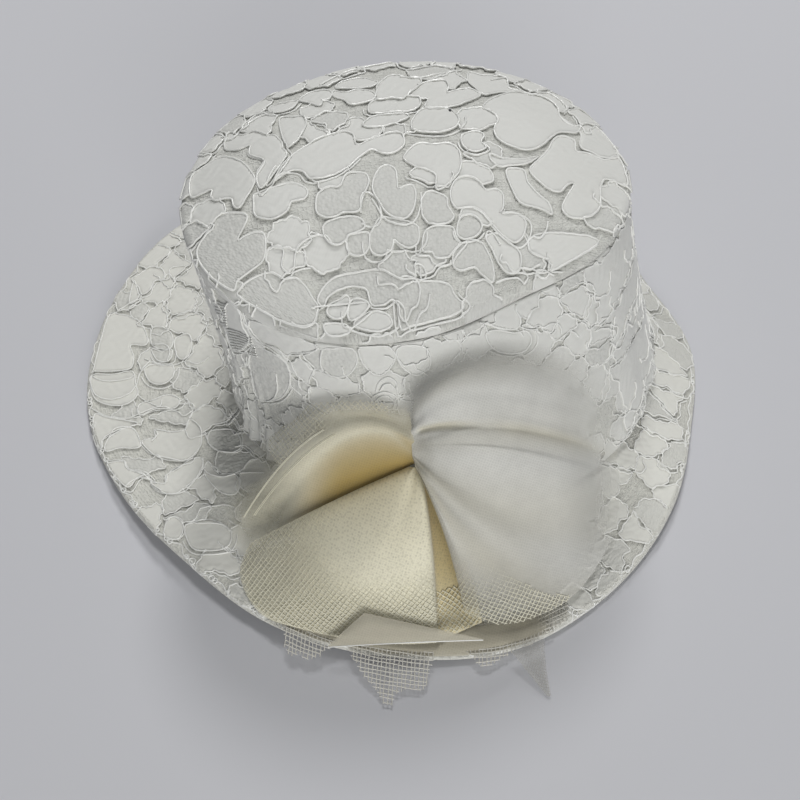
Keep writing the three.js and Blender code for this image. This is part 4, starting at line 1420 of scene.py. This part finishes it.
front_panel = shaped_cloth("front_panel_tulle", PANEL_COLUMNS, 70, front_panel_place,
                           (0.08, 0.06))
front_panel.data.materials.append(cream_tulle)
front_net = threads(
    "front_panel_net",
    net_laid(front_panel, PANEL_COLUMNS, NET_PITCH, 48, panel_net_kept, 0.35),
    NET_THREAD, 16, 35, 0.06)
front_net.data.materials.append(cream_thread)
for piece in (front_panel, front_net):
    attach(piece, "root")
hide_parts("net_front_panel")

# Flaps: the lowest layer of coarse net lies over the brim's edge with raw, uneven flaps, and
# a thin point of tulle hangs beside them.
FLAP_START = 241
FLAP_END = 292
FLAP_INSET = 18
FLAP_REACH = 19
EDGE_RADIUS = 118
FLAPS = (
    # outlines in mm along the brim's edge and past it, most of them worked out by a scratch
    # script from outlines that were read off the photo
    ((3.6, -9.3), (-4.9, 0.3), (-1.8, 3), (3.2, 2.6), (4.7, 6.9), (7.9, 9.7), (11, 8),
     (13.6, 8.8), (17.3, 6.7), (18.5, 4.1), (20.9, 2.9), (24.7, -3.6)),
    ((24.4, -3.5), (26.1, 3.7), (28.9, 6.4), (31.4, 9.7), (34.1, 11.5), (36.5, 14),
     (38.6, 17.5), (41.4, 17.8), (42.1, 14), (45.6, 12.5), (50.6, 12.2), (51.6, 9.1),
     (52.9, 5.3), (54.1, -0.6), (55.1, -6.7)),
    ((62.4, -14.1), (63.4, -3), (64, 0.4), (65.9, 2.6), (67.4, 5.3), (70.4, 6.4), (73.7, 4.7),
     (77.5, 4), (81.3, 2.4), (86.1, 2.8), (91.5, 2.2), (97, 2), (102, 0.3), (104, -4),
     (98, -11), (79.7, -14)),
    ((3, -18), (3, -6), (25, -2), (60, -2), (75, -2), (92, -4), (100, -9), (102, -18)),
)
TULLE_POINT = (
    ((28, -110, 8), (34, -118, 4.5), (39.5, -125.5, 1)),
    ((34, -109, 8.5), (37.5, -117, 4.5), (40.3, -125.8, 1)),
    ((41, -107, 8), (40.5, -115.5, 4), (41, -125.5, 1)),
)


def flap_at(along, past):
    degrees = FLAP_START + np.degrees(along / EDGE_RADIUS)
    angle = np.radians(degrees)
    reach = around(EDGE_REACH, degrees)
    width = reach - (FOOT["half_width"] - WALL)
    share = np.clip(1 + past / width, 0, 1)
    rest = brim_point(degrees, share)[:, 2] + 1.2 - 0.28 * np.maximum(past - 1.5, 0)
    return np.stack((MIDDLE["x"] + (reach + past) * np.cos(angle),
                     MIDDLE["y"] + (reach + past) * np.sin(angle),
                     np.maximum(rest, 1.2)), 1)


def flap_cut(u, v):
    """Place along the edge and past it, in mm, from shares of the whole layer."""
    length = math.radians(FLAP_END - FLAP_START) * EDGE_RADIUS
    return (u * (length + 6) - 5, v * (FLAP_INSET + FLAP_REACH) - FLAP_INSET)


def flap_place(u, v):
    return flap_at(*flap_cut(u, v)), {}


def in_flaps(u, v):
    along, past = flap_cut(u, v)
    depth = [inside_depth(along, past, np.array(outline, float)) for outline in FLAPS]
    return np.max(depth, axis=0) > 0


def tulle_point_place(u, v):
    points = fold_point(TULLE_POINT, u, v)
    points[:, 2] += 0.4 * np.sin(np.pi * v) * np.sin(2 * np.pi * 1.5 * u)
    return points, {"gold": 0 * u, "cover": 0.45 * eased(v, 0, 0.2)}


flaps = threads("flap_net", net_lines(flap_place, NET_PITCH, 4, in_flaps), 0.2)
# The flaps' thread is a greyer, darker copy of the cream net thread: its greyer tone is the flaps'
# own, and its darkness is painted shade.
shaded_flap_thread = net_thread("shaded_flap_net_thread", (0.74, 0.72, 0.66, 1), (0.74, 0.68, 0.5, 1))
flaps.data.materials.append(shaded_flap_thread)
# The tulle point takes a grey copy of the white tulle: painted shade.
shade_painted_grey_tulle = tulle("shade_painted_grey_tulle", (0.42, 0.41, 0.38, 1), (0.66, 0.56, 0.32, 1), 0.1)
tulle_point = shaped_cloth("tulle_point", 16, 24, tulle_point_place, (0.014, 0.02))
tulle_point.data.materials.append(shade_painted_grey_tulle)
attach(flaps, "root")
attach(tulle_point, "root")
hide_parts("net_flaps")

# Folded corner: the corner of the net that is turned up in front of the fan, with the crisp
# edge of the fold along its foot and the layer under it below.
CORNER_FOOT = np.array(((-31, -105.5, 9.5), (-6.5, -107.7, 12.6), (20.5, -108, 10)))
CORNER_APEX = np.array((-16.5, -100.4, 21.5))
CORNER_PEAK = 0.32


def corner_place(u, v):
    left, mid, right = CORNER_FOOT
    foot = bent(left, mid, right, u[:, None])
    rise = CORNER_APEX - (left + (right - left) * CORNER_PEAK)
    slope = np.where(u < CORNER_PEAK, u / CORNER_PEAK, (1 - u) / (1 - CORNER_PEAK))
    points = foot + rise * (v * (0.03 + 0.97 * slope))[:, None]
    points[:, 2] += 0.7 * np.sin(np.pi * v) * slope
    return points, {"gold": 0.12 + 0 * u, "cover": 0.92 - 0.3 * eased(v, 0.5, 1)}


def edge_fold_place(u, v):
    past = 10.5 * v - 9.3
    points = flap_at(1.5 + 97 * u, past)
    points[:, 2] += 0.6 - 0.75 * np.maximum(past + 0.6, 0) ** 1.3
    ends = eased(u, 0, 0.05) * (1 - eased(u, 0.86, 1))
    return points, {"gold": 0.16 + 0 * u, "cover": 0.86 * ends * eased(v, 0, 0.3)}


corner = shaped_cloth("folded_corner", 70, 24, corner_place, (0.055, 0.012))
edge_fold = shaped_cloth("net_edge_fold", 120, 14, edge_fold_place, (0.098, 0.011))
share = np.linspace(0, 1, 60)
crisp_edge = threads("corner_fold_line", [corner_place(share, 0 * share)[0]], 0.24)
crisp_edge.data.materials.append(white_cord)
# The folded corner and the turned strip below it take a darker copy of the cream tulle: painted
# shade.
shade_painted_buff_tulle = tulle("shade_painted_buff_tulle", (0.5, 0.475, 0.4, 1), (0.46, 0.38, 0.2, 1), 0.1)
for piece in (corner, edge_fold):
    piece.data.materials.append(shade_painted_buff_tulle)
for piece in (corner, edge_fold, crisp_edge):
    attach(piece, "root")
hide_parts("net_folded_corner")

# Right wing of the bow: a big puffed veil of fine white tulle. It rolls over at the top,
# dips into a hollow, swells out over the brim and ends in a crisp edge beside the valley.
RIGHT_WING = (
    ((1, -49.5, 69), (31, -44.5, 80.5), (70, -29, 58)),
    ((2, -51.5, 65.5), (29.5, -46.5, 77), (75.5, -31, 43)),
    ((2.5, -53.5, 61.5), (28, -50.5, 72.5), (78.5, -35.5, 29)),
    ((3, -54, 59), (29, -53.5, 68.5), (78, -40, 23.5)),
    ((2.5, -54.5, 56.5), (30.5, -56, 64.5), (76.5, -43, 20)),
    ((2.5, -55, 54), (32, -57, 60.5), (75.5, -45.5, 18.5)),
    ((2.5, -55.5, 52.5), (33, -59, 58), (75, -47, 17)),
    ((2.5, -56, 50.5), (33.5, -62.5, 56), (75.5, -50, 15)),
    ((2.5, -56.5, 49), (33.5, -67, 51.5), (74.5, -60, 11)),
    ((2.5, -57, 47.5), (32, -75, 37.5), (67.5, -77, 9)),
    ((2.5, -57.5, 47), (26.5, -83.5, 37), (54, -93, 8)),
    ((3, -58, 45.5), (20, -86.5, 37.5), (39.5, -100.5, 8)),
    ((3, -59, 45), (14.5, -86, 39), (26, -102.5, 9)),
    ((3, -59, 44.5), (10.5, -82.5, 40), (16, -98.5, 11)),
    ((3, -59, 43.5), (11.5, -80.5, 34.5), (17, -97.5, 10.5)),
    ((3, -58, 41.5), (14.5, -78.5, 27), (21.5, -94.5, 8.5)),
)


UPPER_VEIL = (
    ((3, -51.5, 55.5), (0.5, -48, 66), (-0.5, -44, 74.5)),
    ((3.5, -53, 58.5), (8.5, -48, 72), (10.5, -41.5, 80.5)),
    ((4, -53.5, 60), (18, -47, 75), (27.5, -38, 80.5)),
    ((4, -53.5, 59.5), (29.5, -45.5, 72.5), (48.5, -34, 71.5)),
    ((4.5, -54, 58.5), (36.5, -45.5, 65), (66, -33, 50)),
)


def upper_veil_place(u, v):
    points = fold_point(UPPER_VEIL, u, v)
    points[:, 2] += 0.4 * np.sin(np.pi * v) * np.sin(2 * np.pi * 3 * u + 2 * v)
    cover = 0.55 * np.sin(np.pi * np.clip(u, 0, 1)) ** 0.6 * (1 - eased(v, 0.5, 1))
    return points, {"gold": 0 * u, "cover": cover}


def right_wing_place(u, v):
    points = fold_point(RIGHT_WING, u, v)
    swell = np.sin(np.pi * np.clip(v, 0, 1))
    points[:, 2] += 0.7 * swell * np.sin(2 * np.pi * 2.6 * u + 1.5 * v)
    points[:, 2] += 0.35 * swell * np.sin(2 * np.pi * 9.3 * u + 4 * v + np.sin(5 * v))
    fold = u * (len(RIGHT_WING) - 1)
    for row, rise in ((7.4, 0.7), (8.1, 0.5), (12.6, 0.4)):
        points[:, 2] += rise * np.exp(-(((fold - row) / 0.22) ** 2)) * swell
    rolled = eased(fold, 1.5, 4) * (1 - eased(fold, 12, 14))
    rolled = rolled * 2.6 * eased(v, 0, 0.14) * (1 - eased(v, 0.2, 0.7))
    points += rolled[:, None] * np.array((-0.1, -0.6, 0.8))
    low = eased(u, 0.62, 0.76) * eased(v, 0.5, 0.82)
    layers = 0.5 + 0.5 * np.sin(2 * np.pi * (4.3 * u + 0.5 * v) + 2.2 * np.sin(9 * u + v))
    # Gold tint, strongest at the crisp edge by the valley: partly the deeper tone of the stacked
    # layers and partly painted warm shade.
    gold = 0.6 * eased(u, 0.9, 1) + 0.16 * low + 0.1 * (1 - layers)
    gold = gold + 0.15 * eased(u, 0.5, 0.7) * (1 - eased(v, 0.5, 0.9))
    slit = np.exp(-(((fold - 4.4 - 2 * v) / 0.5) ** 2)) * (1 - eased(v, 0.2, 0.45))
    slit = slit * eased(v, 0.02, 0.1)
    points += slit[:, None] * np.array((0, 1.6, -1.6))
    # The slit's gold is painted shade in its crease.
    gold = gold + 0.3 * slit + 0.22 * np.exp(-(((fold - 5.5) / 0.9) ** 2)) * eased(v, 0.3, 0.6)
    cover = 0.93 - 0.66 * low - 0.2 * eased(v, 0.8, 1)
    cover = cover * (1 - 0.97 * (1 - eased(u, 0, 0.16))) * (0.88 + 0.12 * layers)
    cover = cover * (1 - 0.85 * (1 - eased(u, 0.18, 0.27)) * (1 - eased(v, 0, 0.1)))
    cover = cover * (1 - 0.75 * (1 - eased(u, 0.55, 0.66)) * eased(v, 0.7, 1))
    return points, {"gold": np.minimum(gold, 1), "cover": cover}


def inner_veil_place(u, v):
    points, _ = right_wing_place(0.42 + 0.48 * u, v * 0.96)
    points[:, 2] -= 1.8
    cover = 0.6 - 0.35 * eased(v, 0.75, 1)
    # Gold near the gather: partly the deeper tone of the bunched layers and partly painted warm
    # shade.
    return points, {"gold": 0.35 * (1 - eased(v, 0.1, 0.5)), "cover": cover}


def wing_net_kept(u, v):
    return 0.66 < u < 0.93 and v > 1.0 - 0.48 * eased(u, 0.66, 0.76)


white_tulle = tulle("white_tulle", (0.71, 0.705, 0.67, 1), (0.66, 0.58, 0.34, 1), 0.05)
right_wing = shaped_cloth("right_wing_tulle", RIGHT_COLUMNS, 90, right_wing_place,
                          (0.17, 0.085))
inner_veil = shaped_cloth("right_wing_inner_veil", 90, 60, inner_veil_place, (0.09, 0.08))
upper_veil = shaped_cloth("right_wing_upper_veil", 80, 50, upper_veil_place, (0.06, 0.045))
upper_veil.data.materials.append(white_tulle)
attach(upper_veil, "root")
right_net = threads(
    "right_wing_net",
    net_laid(right_wing, RIGHT_COLUMNS, NET_PITCH, 62, wing_net_kept, 0.3),
    NET_THREAD, 15, 32, 0.06)
right_wing.data.materials.append(white_tulle)
inner_veil.data.materials.append(white_tulle)
right_net.data.materials.append(cream_thread)
for piece in (right_wing, inner_veil, right_net):
    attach(piece, "root")
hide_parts("net_right_wing")

# Gather: the pinched bundle of all the layers, sewn to the side of the crown.
bpy.ops.object.select_all(action="DESELECT")
bpy.ops.mesh.primitive_uv_sphere_add(segments=72, ring_count=36, radius=1)
gather = bpy.context.object
gather.name = "gathered_bundle"
for corner_point in gather.data.vertices:
    x, y, z = corner_point.co
    turn = math.atan2(y, x)
    pleat = 1 + 0.09 * math.cos(14 * turn + 2 * z)
    corner_point.co = ((x * 3 * pleat + 3.2 + STAND[0]) * MM, (y * 4 * pleat - 54.8) * MM,
                       (z * 10 + 49.5) * MM)
bpy.ops.object.shade_smooth()
gather.data.materials.append(cream_tulle)
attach(gather, "root")
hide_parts("gathered_pinch")

# A dark speck that lies on the crown.
bpy.ops.mesh.primitive_uv_sphere_add(segments=12, ring_count=6, radius=0.0006)
speck = bpy.context.object
speck.name = "dark_speck"
speck_place = seen_on(tip_tree, (450, 111.5))[0]
level, _ = tip_surface(speck_place[:1], speck_place[1:2])
height, _ = raised(speck_place[:1], speck_place[1:2], tip_petals)
for point in speck.data.vertices:
    x, y, z = point.co
    point.co = (x * 0.8 + (speck_place[0] + STAND[0]) * MM, y * 1.4 + speck_place[1] * MM,
                z * 0.6 + (level[0] + height[0] + 0.2) * MM)
speck_paint, _, speck_shader = painted("dark_lint")
speck_shader.inputs["Base Color"].default_value = (0.03, 0.03, 0.035, 1)
speck.data.materials.append(speck_paint)
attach(speck, "root")
